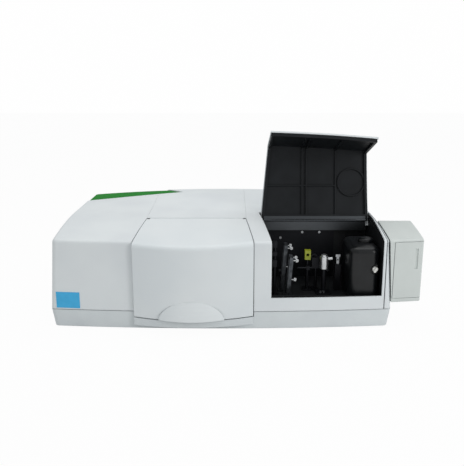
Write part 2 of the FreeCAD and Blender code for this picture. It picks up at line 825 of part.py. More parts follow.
save("port_box", port_box)

door = box_form(0).common(front_strip(door_thickness, 0, door_low, door_high))
pivot_axis = rod(door_pivot, door_pivot + Vector(0, 0, far), door_pin_radius + running_gap)
slot_x = body_width / 2 + box_reach - slot_from_edge
slot_y = box_front_y(slot_x)
finger_slot = block(
    slot_x - slot_width / 2, slot_x + slot_width / 2, slot_y - 20, slot_y + door_thickness - 1.5,
    slot_low, slot_low + slot_height,
)
finger_slot = rounded_upright(finger_slot, slot_width / 2.5)
port_door = door.cut(pivot_axis).cut(finger_slot)
save("port_door", port_door)

# Port ring on the end panel, and the sprung clamp that holds a sample against it

panel_x = body_width / 2 - end_draft * share(beam_height)
ring_thickness = 6.0
port_ring = tube(
    Vector(panel_x - casing_wall, port_y, beam_height),
    Vector(panel_x + ring_thickness, port_y, beam_height),
    port_radius - fit_gap,
    port_radius - 4,
)
port_collar = tube(
    Vector(panel_x + 2.0, port_y, beam_height),
    Vector(panel_x + ring_thickness, port_y, beam_height),
    port_radius + 7,
    port_radius - 4,
)
save("port_ring", joined([port_ring, port_collar]))
head_x = panel_x + ring_thickness + fit_gap
clamp_head = rod(Vector(head_x, clamp_y, beam_height), Vector(head_x + 5, clamp_y, beam_height), clamp_head_radius)
clamp_rod = rod(
    Vector(head_x + 4, clamp_y, beam_height), Vector(boss_inner + 8, clamp_y, beam_height), clamp_rod_radius
)
save("sample_clamp", joined([clamp_head, clamp_rod]))

spring_turns = 6
spring_radius = 6.6
spring_wire = 0.9
spring_start = head_x + 5 + spring_wire
spring_length = boss_inner - spring_start - spring_wire
helix = Part.makeHelix(spring_length / spring_turns, spring_length, spring_radius)
coil_profile = Part.Wire([Part.makeCircle(spring_wire, Vector(spring_radius, 0, 0), Vector(0, 1, 0))])
coil = Part.Wire(helix).makePipeShell([coil_profile], True, True)
coil.rotate(Vector(0, 0, 0), Vector(0, 1, 0), 90)
coil.translate(Vector(spring_start, clamp_y, beam_height))
save("clamp_spring", coil)

# Optics in the detector bay, from the back plate to the sphere

plate_y = lid_rear + liner_step - fit_gap - bay_plate_thickness
plate_low = floor_high + fit_gap
plate_high = lid_axis_height - case_leaf_height - 2
back_plate = block(bay_left - 5, sphere_left - 12, plate_y, plate_y + bay_plate_thickness, plate_low, plate_high)
screw_places = [(195.0, 214.0), (267.0, 233.0), (324.0, 233.0), (357.0, 100.0), (195.0, 100.0)]
screw_bores = [rod(Vector(x, 0, z), Vector(x, far, z), 2.3) for x, z in screw_places]
for screw_bore in screw_bores:
    back_plate = back_plate.cut(screw_bore)
save("bay_back_plate", back_plate)
screws = []
for screw_x, screw_z in screw_places:
    head = rod(Vector(screw_x, plate_y - 2.5, screw_z), Vector(screw_x, plate_y, screw_z), 4)
    shank = rod(Vector(screw_x, plate_y, screw_z), Vector(screw_x, plate_y + bay_plate_thickness, screw_z), 2)
    screws.append(joined([head, shank]))

# Rail across the rear of the liner, moulded with it, that carries the fixed leaf of the lid hinge

lid_space = plan_prism(detector_plan(1 - lid_gap, lid_rear), bay_sill + 1, roof_top + 40)
lid_space = lid_space.cut(front_and_roof(lid_depth + 1))
barrel_space = rod(barrel_start - Vector(1, 0, 0), barrel_end + Vector(1, 0, 0), lid_hinge_drop + 3.5)
rail = block(
    hinge_left - 4, hinge_right + 4, leaf_back + fit_gap, detector_liner_rear + 1,
    lid_axis_height - case_leaf_height, lid_axis_height - lid_hinge_drop - 1.5,
)
save("detector_bay_liner", joined([detector_tub.cut(lid_space).cut(barrel_space), rail]))


def leaning_plate(centre_x, centre_y, width, low, high, lean, thickness):
    """An upright plate along Y that leans by a few degrees about its foot."""
    plate = block(
        centre_x - thickness / 2, centre_x + thickness / 2, centre_y - width / 2, centre_y + width / 2, low, high
    )
    plate.rotate(Vector(centre_x, centre_y, low), Vector(0, 1, 0), lean)
    return plate


foot_plate_top = floor_high + fit_gap + 5
mirror_stands = []
mirror_glasses = []
for mirror_x, mirror_y, mirror_low, mirror_high in mirror_places:
    foot = block(mirror_x - 12, mirror_x + 14, mirror_y - 24, mirror_y + 24, floor_high + fit_gap, foot_plate_top)
    back = leaning_plate(mirror_x, mirror_y, 42, foot_plate_top - 1, mirror_high, mirror_lean, mirror_frame)
    window = leaning_plate(mirror_x, mirror_y, 30, mirror_low, mirror_high - 8, mirror_lean, 2 * mirror_frame)
    window.translate(Vector((mirror_low - foot_plate_top) * math.tan(math.radians(mirror_lean)), 0, 0))
    glass = window.common(leaning_plate(mirror_x, mirror_y, 40, foot_plate_top - 1, mirror_high, mirror_lean, 3.4))
    stand = joined([foot, back]).cut(window)
    mirror_stands.append(stand)
    mirror_glasses.append(glass)
save("mirror_stands", group(mirror_stands))
save("fold_mirrors", group(mirror_glasses))

adjusters = []
for mirror_x, mirror_y, mirror_low, mirror_high in mirror_places:
    for offset_y, offset_z in ((-17, -10), (17, -10), (-17, -70)):
        height = mirror_high + offset_z
        lean_x = (height - foot_plate_top + 1) * math.tan(math.radians(mirror_lean))
        start = Vector(mirror_x + lean_x + mirror_frame / 2 + 0.3, mirror_y + offset_y, height)
        shank = rod(start, start + Vector(9, 0, 0), 1.6)
        knob = rod(start + Vector(9, 0, 0), start + Vector(15, 0, 0), 4)
        adjusters.append(joined([shank, knob]))
save("mirror_adjusters", group(adjusters))

# Post with clamps at the left of the bay

post_x = 164.0
post_y = 95.0
post = rod(Vector(post_x, post_y, floor_high + fit_gap), Vector(post_x, post_y, 252), 4)
post_foot = rod(Vector(post_x, post_y, floor_high + fit_gap), Vector(post_x, post_y, foot_plate_top), 13)
post_clamps = []
for clamp_z, clamp_tall in ((171, 22), (206, 13), (232, 20)):
    post_clamps.append(block(post_x - 6, post_x + 6, post_y - 7, post_y + 7, clamp_z, clamp_z + clamp_tall))
clamp_post = joined([post, post_foot] + post_clamps)

# Filter block with its arc arm, on the rail that carries the silver holder

holder_x = 318.0
holder_y = 118.0
cup_low = 158.0
cup_high = 196.0
cup_radius = 13.0
stand_foot = block(holder_x - 24, holder_x + 22, holder_y - 20, holder_y + 20, floor_high + fit_gap, foot_plate_top)
stand_post = rod(Vector(holder_x, holder_y, foot_plate_top - 1), Vector(holder_x, holder_y, cup_low - fit_gap), 7)
stand_bore = rod(Vector(holder_x, holder_y, cup_low - 20), Vector(holder_x, holder_y, far), 4 + running_gap)
stand = joined([stand_foot, stand_post]).cut(stand_bore)
save("holder_stand", stand)
cup_body = rod(Vector(holder_x, holder_y, cup_low), Vector(holder_x, holder_y, cup_high), cup_radius)
cup_rim = rod(Vector(holder_x, holder_y, cup_high), Vector(holder_x, holder_y, cup_high + 6), 9)
cup_stem = rod(Vector(holder_x, holder_y, cup_low - 19), Vector(holder_x, holder_y, cup_low + 1), 4)
cup_well = rod(Vector(holder_x, holder_y, cup_high - 14), Vector(holder_x, holder_y, cup_high + 7), 6)
cup_knob = rod(Vector(holder_x + 10, holder_y, 189), Vector(holder_x + 26, holder_y, 189), 5)
cup_knob = cup_knob.makeFillet(1.5, [cup_knob.Edges[0]])
grooves = [
    tube(Vector(holder_x, holder_y, z), Vector(holder_x, holder_y, z + 1.5), cup_radius + 1, cup_radius - 1)
    for z in (166, 171, 176)
]
silver_holder = joined([cup_body, cup_rim, cup_stem, cup_knob]).cut(cup_well)
for groove in grooves:
    silver_holder = silver_holder.cut(groove)
save("silver_holder", silver_holder)
foot_bolts = []
for bolt_x in (holder_x - 11, holder_x):
    bolt = rod(Vector(bolt_x, holder_y - 13, foot_plate_top), Vector(bolt_x, holder_y - 13, foot_plate_top + 6), 4)
    foot_bolts.append(bolt)
save("bay_screws", group(screws + foot_bolts))

filter_x = 270.5
filter_y = 150.0
filter_foot = block(filter_x - 14, filter_x + 14, filter_y - 16, filter_y + 16, floor_high + fit_gap, foot_plate_top)
filter_post = rod(Vector(filter_x, filter_y, foot_plate_top - 1), Vector(filter_x, filter_y, 178), 5)
slide_rail = rod(Vector(238, filter_y - 18, 155), Vector(284, filter_y - 18, 155), 3)
rail_eye = block(filter_x - 5, filter_x + 5, filter_y - 22, filter_y + 3, 149, 161)
filter_stand = joined([filter_foot, filter_post, slide_rail, rail_eye])
filter_cube = block(filter_x - 9, filter_x + 9, filter_y - 9, filter_y + 9, 178 + fit_gap, 208)
filter_well = rod(Vector(filter_x, filter_y - 20, 194), Vector(filter_x, filter_y + 20, 194), 5)
save("filter_block", filter_cube.cut(filter_well))
lens_mount = block(284, 311, filter_y - 8, filter_y + 8, 150, 185)
lens_bore = rod(Vector(280, filter_y, 168), Vector(320, filter_y, 168), 6)
lens_post = rod(Vector(297.5, filter_y, foot_plate_top - 1), Vector(297.5, filter_y, 151), 5)
lens_foot = block(286.5, 308.5, filter_y - 11, filter_y + 16, floor_high + fit_gap, foot_plate_top)
arc_arm = tube(Vector(291, filter_y - 4, 185), Vector(291, filter_y + 4, 185), 10.5, 8)
arc_arm = arc_arm.common(block(0, far, 0, far, 184.5, far))
lens_stand = joined([lens_mount, lens_post, lens_foot, arc_arm]).cut(lens_bore)
save("bay_stands", group([clamp_post, filter_stand, lens_stand]))

# Aperture slide: an upright bar in a guide block at the right of the bay

slide_x = 366.0
slide_y = 150.0
guide = block(slide_x - 9, slide_x + 9, slide_y - 8, slide_y + 8, floor_high + fit_gap, 162)
slide_slot = block(
    slide_x - 4 - running_gap * 2, slide_x + 4 + running_gap * 2, slide_y - 1.7, slide_y + 1.7, 120, 163
)
save("aperture_guide", guide.cut(slide_slot))
slide_bar = block(slide_x - 4, slide_x + 4, slide_y - 1.5, slide_y + 1.5, 120 + fit_gap, 188)
slide_tab = block(slide_x - 7, slide_x + 7, slide_y - 3, slide_y + 3, 186, 194)
save("aperture_slide", joined([slide_bar, slide_tab]).cut(rod(Vector(slide_x, 0, 176), Vector(slide_x, far, 176), 2.5)))

# Sphere housing: a moulded black block with a domed top and a recessed knob

sphere_low = floor_high + fit_gap
sphere_plan = [
    (sphere_left, sphere_front),
    (sphere_right, sphere_front),
    (sphere_right, sphere_rear),
    (sphere_left, sphere_rear),
]
sphere_box = rounded_upright(plan_prism(sphere_plan, sphere_low, sphere_high), sphere_round)
sphere_top = max(sphere_box.Faces, key=lambda face: face.CenterOfMass.z)
sphere_box = sphere_box.makeFillet(sphere_round * 0.75, sphere_top.Edges)
tube_x = (sphere_left + sphere_right) / 2 + 14
tube_y = (sphere_front + sphere_rear) / 2
detector_dome = rod(Vector(tube_x, tube_y, sphere_high - 1), Vector(tube_x, tube_y, sphere_high + 12), 24)
detector_dome = detector_dome.makeFillet(9, [detector_dome.Edges[0]])
knob_x = 461.0
knob_z = 176.0
recess = rod(Vector(knob_x, sphere_front - 5, knob_z), Vector(knob_x, sphere_front + 9, knob_z), 15)
knob_bore_radius = 4.0
knob_bore = rod(
    Vector(knob_x, sphere_front, knob_z), Vector(knob_x, sphere_front + 26, knob_z), knob_bore_radius + running_gap
)
cavity_centre = Vector((sphere_left + sphere_right) / 2, port_y, beam_height)
side_port = rod(cavity_centre, Vector(sphere_right + 5, port_y, beam_height), port_radius)
entry_port = rod(Vector(sphere_left - 5, port_y, beam_height), cavity_centre, 10)
cavity_radius = 36.0
lining_inner = 32.0


def ball(radius):
    """Sphere round the cavity's centre, its seam turned to the rear, clear of the ports."""
    sphere = Part.makeSphere(radius, cavity_centre)
    sphere.rotate(cavity_centre, Vector(0, 0, 1), 90)
    return sphere


sphere_housing = joined([sphere_box, detector_dome]).cut(recess).cut(knob_bore).cut(side_port).cut(entry_port)
save("sphere_housing", sphere_housing.cut(ball(cavity_radius)))
sphere_lining = ball(cavity_radius - fit_gap).cut(ball(lining_inner))
save("sphere_lining", sphere_lining.cut(side_port).cut(entry_port))
knob_disc = rod(Vector(knob_x, sphere_front + 2, knob_z), Vector(knob_x, sphere_front + 8, knob_z), 8)
knob_grip = block(knob_x - 8, knob_x + 8, sphere_front - 6, sphere_front + 3, knob_z - 3, knob_z + 3)
knob_grip = knob_grip.makeFillet(2.5, [e for e in knob_grip.Edges if e.BoundBox.YLength > 5])
knob_shaft = rod(Vector(knob_x, sphere_front + 7, knob_z), Vector(knob_x, sphere_front + 24, knob_z), knob_bore_radius)
port_knob = joined([knob_disc, knob_grip, knob_shaft])
port_knob.rotate(Vector(knob_x, 0, knob_z), Vector(0, 1, 0), -60)
save("port_knob", port_knob)

# Source compartment at the left rear: lamp house, two lamps, lamp mirror, filter wheel

deck = bench_top + fit_gap
house_left, house_right, house_front, house_rear = -478.0, -330.0, 430.0, 575.0
house_high = 215.0
lamp_house = block(house_left, house_right, house_front, house_rear, deck, house_high)
lamp_house = lamp_house.cut(block(
    house_left + 3, house_right - 3, house_front + 3, house_rear - 3, deck + 3, house_high + 1
))
exit_x = -370.0
exit_bore = rod(Vector(exit_x, house_front - 5, beam_height), Vector(exit_x, house_front + 5, beam_height), 14)
fins = [block(house_left - 8, house_left, y, y + 2, deck, house_high) for y in range(440, 566, 14)]
mirror_boss = rod(Vector(exit_x, 500, deck + 2), Vector(exit_x, 500, 150), 8)
lamp_shaft_bore = rod(Vector(exit_x, 500, 120), Vector(exit_x, 500, far), 3 + running_gap)
lamp_house = joined([lamp_house.cut(exit_bore), mirror_boss] + fins).cut(lamp_shaft_bore)
mirror_table = rod(Vector(exit_x, 500, 150 + fit_gap), Vector(exit_x, 500, 156), 15)
mirror_shaft = rod(Vector(exit_x, 500, 121), Vector(exit_x, 500, 151), 3)
mirror_slab = block(exit_x - 18, exit_x + 18, 498, 503, 155, 215)
lamp_mirror = joined([mirror_table, mirror_shaft, mirror_slab])
lamp_mirror.rotate(Vector(exit_x, 500, 0), Vector(0, 0, 1), 35)
save("lamp_mirror", lamp_mirror)


def lamp(x, y, base_radius, bulb_radius, low, shoulder, high):
    """A round ceramic base, and a glass bulb with a domed end."""
    base = rod(Vector(x, y, low), Vector(x, y, shoulder), base_radius)
    bulb = rod(Vector(x, y, shoulder), Vector(x, y, high), bulb_radius)
    return base, bulb.makeFillet(bulb_radius * 0.9, [bulb.Edges[0]])


deuterium_base, deuterium_bulb = lamp(-430, 530, 19, 14, deck + 3 + fit_gap, 165, 230)
halogen_base, halogen_bulb = lamp(-430, 465, 15, 7, deck + 3 + fit_gap, 172, 200)
save("lamp_bases", group([deuterium_base, halogen_base]))
save("lamp_bulbs", group([deuterium_bulb, halogen_bulb]))

wheel_x, wheel_y, wheel_z = exit_x - 28, 400.0, beam_height
wheel_bracket = block(wheel_x - 12, wheel_x + 12, wheel_y - 16, wheel_y - 6, deck, wheel_z + 12)
wheel_bracket = wheel_bracket.fuse(block(wheel_x - 22, wheel_x + 22, wheel_y - 24, wheel_y - 6, deck, deck + 5))
wheel_bore = rod(Vector(wheel_x, 0, wheel_z), Vector(wheel_x, house_front - 10, wheel_z), 3 + running_gap)
save("lamp_house", group([lamp_house, wheel_bracket.cut(wheel_bore)]))
wheel = rod(Vector(wheel_x, wheel_y, wheel_z), Vector(wheel_x, wheel_y + 4, wheel_z), 40)
wheel_shaft = rod(Vector(wheel_x, wheel_y - 16, wheel_z), Vector(wheel_x, wheel_y + 1, wheel_z), 3)
wheel_hub = rod(Vector(wheel_x, wheel_y - 6 + fit_gap, wheel_z), Vector(wheel_x, wheel_y + 1, wheel_z), 9)
filter_wheel = joined([wheel, wheel_shaft, wheel_hub])
for index in range(8):
    turn = index * math.pi / 4
    spot = Vector(wheel_x + 28 * math.cos(turn), wheel_y - 1, wheel_z + 28 * math.sin(turn))
    filter_wheel = filter_wheel.cut(rod(spot, spot + Vector(0, 6, 0), 8))
save("filter_wheel", filter_wheel)

# Double monochromator: one cast tray, with two gratings that turn together

mono_left, mono_right, mono_front, mono_rear, mono_high = -474.0, -292.0, 62.0, 372.0, 225.0
mono = block(mono_left, mono_right, mono_front, mono_rear, deck, mono_high)
middle_y = (mono_front + mono_rear) / 2
chambers = [
    block(mono_left + 5, mono_right - 5, mono_front + 5, middle_y - 2.5, deck + 5, mono_high + 1),
    block(mono_left + 5, mono_right - 5, middle_y + 2.5, mono_rear - 5, deck + 5, mono_high + 1),
]
grating_x = (mono_left + mono_right) / 2
grating_ys = [middle_y - 75, middle_y + 75]
for chamber in chambers:
    mono = mono.cut(chamber)
grating_bosses = [rod(Vector(grating_x, y, deck + 4), Vector(grating_x, y, deck + 24), 12) for y in grating_ys]
mono_cuts = [rod(Vector(grating_x, y, deck + 8), Vector(grating_x, y, far), 5 + running_gap) for y in grating_ys]
mono_cuts.append(block(mono_right - 44, mono_right - 24, mono_front + 20, mono_rear + 20, beam_height - 9, beam_height + 9))
mono_cuts.append(block(mono_right - 20, mono_right + 20, sample_beam_y - 9, sample_beam_y + 9, beam_height - 9, beam_height + 9))
mono = joined([mono] + grating_bosses)
for mono_cut in mono_cuts:
    mono = mono.cut(mono_cut)
for name, grating_y, turn in (("front_grating", grating_ys[0], 20), ("rear_grating", grating_ys[1], -20)):
    table = rod(Vector(grating_x, grating_y, deck + 24 + fit_gap), Vector(grating_x, grating_y, deck + 31), 30)
    shaft = rod(Vector(grating_x, grating_y, deck + 9), Vector(grating_x, grating_y, deck + 25), 5)
    slab = block(grating_x - 26, grating_x + 26, grating_y - 6, grating_y + 6, deck + 30, deck + 96)
    turret = joined([table, shaft, slab])
    turret.rotate(Vector(grating_x, grating_y, 0), Vector(0, 0, 1), turn)
    save(name, turret)
slit_x = mono_right - 34
slit_plate = block(slit_x - 13, slit_x + 13, mono_rear - 1, mono_rear + 3, beam_height - 22, beam_height + 22)
slit = block(slit_x - 1, slit_x + 1, 0, far, beam_height - 8, beam_height + 8)
slit_pins = [
    rod(Vector(slit_x + dx, mono_rear, beam_height + dz), Vector(slit_x + dx, mono_rear + 5, beam_height + dz), 2)
    for dx in (-9, 9) for dz in (-17, 17)
]
save("monochromator_casting", joined([mono, slit_plate.cut(slit)] + slit_pins))

# Chopper: a motor with a half-silvered sector wheel, between the monochromator and the sample bay

chopper_y = reference_beam_y + 50
motor_z = beam_height - 48
motor = rod(Vector(-286, chopper_y, motor_z), Vector(-272, chopper_y, motor_z), 16)
motor_foot = block(-286, -272, chopper_y - 16, chopper_y + 16, deck, motor_z - 8)
motor_bore = rod(Vector(-280, chopper_y, motor_z), Vector(far, chopper_y, motor_z), 2.5 + running_gap)
save("chopper_motor", joined([motor, motor_foot]).cut(motor_bore))
chopper = rod(Vector(-269, chopper_y, motor_z), Vector(-267, chopper_y, motor_z), 58)
chopper_hub = rod(Vector(-272 + fit_gap, chopper_y, motor_z), Vector(-266, chopper_y, motor_z), 8)
chopper_shaft = rod(Vector(-279, chopper_y, motor_z), Vector(-268, chopper_y, motor_z), 2.5)
quarter = block(-290, -250, chopper_y, chopper_y + 80, motor_z, motor_z + 80)
window_ring = tube(Vector(-290, chopper_y, motor_z), Vector(-250, chopper_y, motor_z), 54, 18)
opposite = block(-290, -250, chopper_y - 80, chopper_y, motor_z - 80, motor_z)
chopper_wheel = joined([chopper, chopper_hub, chopper_shaft])
chopper_wheel = chopper_wheel.cut(window_ring.common(quarter)).cut(window_ring.common(opposite))
save("chopper_wheel", chopper_wheel)

# Relay mirrors behind the sample bay

relays = []
for relay_x, relay_y, turn in ((-190.0, 260.0, 40), (-60.0, 330.0, -35), (60.0, 260.0, 35)):
    foot = rod(Vector(relay_x, relay_y, deck), Vector(relay_x, relay_y, deck + 8), 20)
    post = rod(Vector(relay_x, relay_y, deck + 7), Vector(relay_x, relay_y, 165), 6)
    disc = rod(Vector(relay_x, relay_y - 4, beam_height), Vector(relay_x, relay_y + 4, beam_height), 26)
    relay = joined([foot, post, disc])
    relay.rotate(Vector(relay_x, relay_y, 0), Vector(0, 0, 1), turn)
    relays.append(relay)
save("relay_mirrors", group(relays))

# Electronics: power supply, circuit board, fan

supply = block(150, 400, 430, 570, deck, 160)
supply = supply.cut(block(153, 397, 433, 567, deck + 3, 157))
for index in range(8):
    slot_low_x = 170 + index * 26
    supply = supply.cut(block(slot_low_x, slot_low_x + 12, 445, 555, 150, 170))
save("power_supply", supply)
standoffs = [rod(Vector(x, y, deck), Vector(x, y, deck + 12), 3.5) for x in (-172, 52) for y in (428, 572)]
board = block(-180, 60, 420, 580, deck + 12, deck + 13.6)
chips = [
    block(x, x + 34, y, y + 34, deck + 13.6, deck + 17) for x in (-150, -90, -30) for y in (440, 500)
]
connectors = [block(15, 45, y, y + 40, deck + 13.6, deck + 26) for y in (430, 480, 530)]
save("circuit_board", joined([board] + standoffs + chips + connectors))

panel_y = body_depth - casing_wall - fit_gap - rear_sheet
fan_x, fan_z = 280.0, 200.0
fan_half = 40.0
fan_front = panel_y - 25
fan_frame = block(fan_x - fan_half, fan_x + fan_half, fan_front, panel_y - fit_gap, fan_z - fan_half, fan_z + fan_half)
fan_frame = fan_frame.cut(rod(Vector(fan_x, 0, fan_z), Vector(fan_x, far, fan_z), fan_half - 2))
stator = rod(Vector(fan_x, fan_front, fan_z), Vector(fan_x, fan_front + 5, fan_z), 13)
spokes = [
    block(fan_x - fan_half + 1, fan_x + fan_half - 1, fan_front, fan_front + 4, fan_z - 2, fan_z + 2),
    block(fan_x - 2, fan_x + 2, fan_front, fan_front + 4, fan_z - fan_half + 1, fan_z + fan_half - 1),
]
fan_bore = rod(Vector(fan_x, fan_front + 1, fan_z), Vector(fan_x, far, fan_z), 2 + running_gap)
save("fan_frame", joined([fan_frame, stator] + spokes).cut(fan_bore))
rotor_hub = rod(Vector(fan_x, fan_front + 5 + fit_gap, fan_z), Vector(fan_x, fan_front + 20, fan_z), 13)
rotor_shaft = rod(Vector(fan_x, fan_front + 2, fan_z), Vector(fan_x, fan_front + 8, fan_z), 2)
blades = []
for index in range(7):
    blade = block(fan_x - 6, fan_x + 6, fan_front + 12, fan_front + 14, fan_z + 11, fan_z + fan_half - 4)
    blade.rotate(Vector(fan_x, fan_front + 13, fan_z), Vector(0, 0, 1), 35)
    blade.rotate(Vector(fan_x, 0, fan_z), Vector(0, 1, 0), index * 360 / 7)
    blades.append(blade)
save("fan_rotor", joined([rotor_hub, rotor_shaft] + blades))

# Rear panel with its cut-outs, and what is fitted in them

rear_panel = block(
    -rear_half_width - 8, rear_half_width + 8, panel_y, panel_y + rear_sheet, rear_window_low - 8, rear_window_high + 8
)
inlet_x, inlet_z = 400.0, 110.0
rear_cuts = [
    rod(Vector(fan_x, 0, fan_z), Vector(fan_x, far, fan_z), fan_half - 3),
    block(inlet_x - 14, inlet_x + 14, 0, far, inlet_z - 10, inlet_z + 10),
    block(inlet_x - 45 - 11, inlet_x - 45 + 11, 0, far, inlet_z - 15, inlet_z + 15),
]
purge_places = [(-420.0, 120.0), (-380.0, 120.0)]
for purge_x, purge_z in purge_places:
    rear_cuts.append(rod(Vector(purge_x, 0, purge_z), Vector(purge_x, far, purge_z), 5.5))
socket_places = [(120.0, 110.0), (180.0, 110.0)]
for socket_x, socket_z in socket_places:
    rear_cuts.append(block(socket_x - 16, socket_x + 16, 0, far, socket_z - 6, socket_z + 6))
for column in range(8):
    for row in range(2):
        vent_x = -330 + column * 22
        vent_z = 150 + row * 46
        rear_cuts.append(block(vent_x, vent_x + 8, 0, far, vent_z, vent_z + 36))
for rear_cut in rear_cuts:
    rear_panel = rear_panel.cut(rear_cut)
grille = []
for radius in (12, 21, 30):
    grille.append(tube(Vector(fan_x, panel_y, fan_z), Vector(fan_x, panel_y + rear_sheet, fan_z), radius, radius - 2.5))
for angle in (45, 135):
    spoke = block(fan_x - 39, fan_x + 39, panel_y, panel_y + rear_sheet, fan_z - 1.5, fan_z + 1.5)
    spoke.rotate(Vector(fan_x, 0, fan_z), Vector(0, 1, 0), angle)
    grille.append(spoke)
save("rear_panel", joined([rear_panel] + grille))
inlet = block(inlet_x - 13.7, inlet_x + 13.7, panel_y - 20, panel_y + rear_sheet + 0.3, inlet_z - 9.7, inlet_z + 9.7)
inlet_flange = block(inlet_x - 22, inlet_x + 22, panel_y + rear_sheet + 0.3, panel_y + rear_sheet + 3, inlet_z - 14, inlet_z + 14)
inlet_well = block(inlet_x - 11, inlet_x + 11, panel_y - 15, far, inlet_z - 7, inlet_z + 7)
inlet_pins = [
    block(inlet_x + dx - 1, inlet_x + dx + 1, panel_y - 16, panel_y, inlet_z + dz - 2.5, inlet_z + dz + 2.5)
    for dx, dz in ((-6, -2), (0, 2), (6, -2))
]
inlet_module = joined([joined([inlet, inlet_flange]).cut(inlet_well)] + inlet_pins)
switch_x = inlet_x - 45
switch_face = panel_y + rear_sheet
switch_body = block(switch_x - 10.7, switch_x + 10.7, panel_y - 18, switch_face + 0.3, inlet_z - 14.7, inlet_z + 14.7)
switch_bezel = block(switch_x - 14, switch_x + 14, switch_face + 0.3, switch_face + 2, inlet_z - 18, inlet_z + 18)
switch_well = block(switch_x - 8.5, switch_x + 8.5, panel_y - 12, far, inlet_z - 12.5, inlet_z + 12.5)
rocker_axis_y = switch_face - 3
rocker_pins = rod(Vector(switch_x - 9.5, rocker_axis_y, inlet_z), Vector(switch_x + 9.5, rocker_axis_y, inlet_z), 1.5)
switch_housing = joined([switch_body, switch_bezel]).cut(switch_well)
save("mains_inlet", group([inlet_module, joined([switch_housing, rocker_pins])]))
rocker_half = math.tan(math.radians(rocker_swing / 2)) * 11
rocker = side_prism(
    [
        (rocker_axis_y - 3, inlet_z - 6),
        (rocker_axis_y + 4.5 + rocker_half, inlet_z - 11),
        (rocker_axis_y + 4.5, inlet_z),
        (rocker_axis_y + 4.5 + rocker_half, inlet_z + 11),
        (rocker_axis_y - 3, inlet_z + 6),
    ],
    switch_x - 8.2,
    switch_x + 8.2,
)
rocker_bore = rod(Vector(switch_x - 20, rocker_axis_y, inlet_z), Vector(switch_x + 20, rocker_axis_y, inlet_z), 1.5 + running_gap)
rocker = rocker.cut(rocker_bore)
rocker.rotate(Vector(0, rocker_axis_y, inlet_z), Vector(1, 0, 0), -rocker_swing / 2)
save("power_rocker", rocker)
sockets = []
for socket_x, socket_z in socket_places:
    body = block(socket_x - 15.7, socket_x + 15.7, panel_y - 10, panel_y + rear_sheet + 0.3, socket_z - 5.7, socket_z + 5.7)
    rim = block(socket_x - 20, socket_x + 20, panel_y + rear_sheet + 0.3, panel_y + rear_sheet + 1.5, socket_z - 8, socket_z + 8)
    collar = block(socket_x - 12, socket_x + 12, panel_y + rear_sheet + 1, panel_y + rear_sheet + 6, socket_z - 4.5, socket_z + 4.5)
    well = block(socket_x - 11, socket_x + 11, panel_y - 5, far, socket_z - 3.5, socket_z + 3.5)
    sockets.append(joined([body, rim, collar]).cut(well))
save("data_sockets", group(sockets))
fittings = []
for purge_x, purge_z in purge_places:
    profile = [
        (0, -14), (5.2, -14), (5.2, 2.3), (9, 2.3), (9, 7), (4, 7), (4, 9), (5, 9), (4, 13), (5, 13), (3.2, 18), (0, 18),
    ]
    ring = [Vector(purge_x + r, panel_y + along, purge_z) for r, along in profile]
    barb = Part.Face(Part.makePolygon(ring + ring[:1]))
    barb = barb.revolve(Vector(purge_x, panel_y, purge_z), Vector(0, 1, 0), 360)
    fittings.append(barb.cut(rod(Vector(purge_x, panel_y - 15, purge_z), Vector(purge_x, panel_y + 20, purge_z), 2)))
save("purge_fittings", group(fittings))
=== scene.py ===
import math

import bmesh
import bpy
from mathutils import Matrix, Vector


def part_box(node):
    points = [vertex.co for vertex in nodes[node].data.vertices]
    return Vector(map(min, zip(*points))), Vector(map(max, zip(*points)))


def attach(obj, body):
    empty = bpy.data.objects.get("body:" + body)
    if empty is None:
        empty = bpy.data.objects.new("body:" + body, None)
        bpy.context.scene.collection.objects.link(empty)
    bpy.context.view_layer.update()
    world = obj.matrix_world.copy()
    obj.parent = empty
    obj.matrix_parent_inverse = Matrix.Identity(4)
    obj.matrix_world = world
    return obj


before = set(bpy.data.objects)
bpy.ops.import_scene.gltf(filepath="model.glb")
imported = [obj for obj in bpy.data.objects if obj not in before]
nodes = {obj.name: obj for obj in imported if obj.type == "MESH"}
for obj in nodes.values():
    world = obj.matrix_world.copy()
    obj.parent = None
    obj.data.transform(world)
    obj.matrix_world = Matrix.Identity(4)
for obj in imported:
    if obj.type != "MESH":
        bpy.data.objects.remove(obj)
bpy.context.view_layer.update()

# Casing: four moulded polyurethane shells over the optics, sprayed with a fine off-white
# texture paint. The spray leaves soft pimples about a millimetre wide, so the highlights
# are broad, and the thickness of the coat drifts a little over a hand's breadth.

casing_nodes = ["left_casing", "rear_casing", "right_casing", "right_end_panel"]
paint_colour = "#E2E7E8"
paint_shade = "#DCE1E3"
paint_pimple_mm = 2.2
paint_pimple_depth_mm = 0.05
paint_drift_mm = 160
soft_edge_mm = 3.0


def linear(hex_colour):
    """The linear colour that Blender takes, from an sRGB hex colour."""
    channels = []
    for place in (1, 3, 5):
        share = int(hex_colour[place:place + 2], 16) / 255
        channels.append(share / 12.92 if share <= 0.04045 else ((share + 0.055) / 1.055) ** 2.4)
    return (*channels, 1.0)


def add_node(tree, kind, settings=None, links=None):
    """Adds a node, with its settings by socket or property name, and links from other sockets."""
    node = tree.nodes.new(kind)
    for name, value in (settings or {}).items():
        if name in node.inputs:
            node.inputs[name].default_value = value
        else:
            setattr(node, name, value)
    for name, source in (links or {}).items():
        tree.links.new(source, node.inputs[name])
    return node


def start_finish(name, colour, roughness, metallic=0.0, coat=0.0):
    """A material with its shader set, and the object's coordinates for its patterns."""
    finish = bpy.data.materials.new(name)
    finish.use_nodes = True
    tree = finish.node_tree
    shader = tree.nodes["Principled BSDF"]
    shader.inputs["Base Color"].default_value = linear(colour)
    shader.inputs["Roughness"].default_value = roughness
    shader.inputs["Metallic"].default_value = metallic
    shader.inputs["Coat Weight"].default_value = coat
    place = add_node(tree, "ShaderNodeTexCoord").outputs["Object"]
    return finish, tree, shader, place


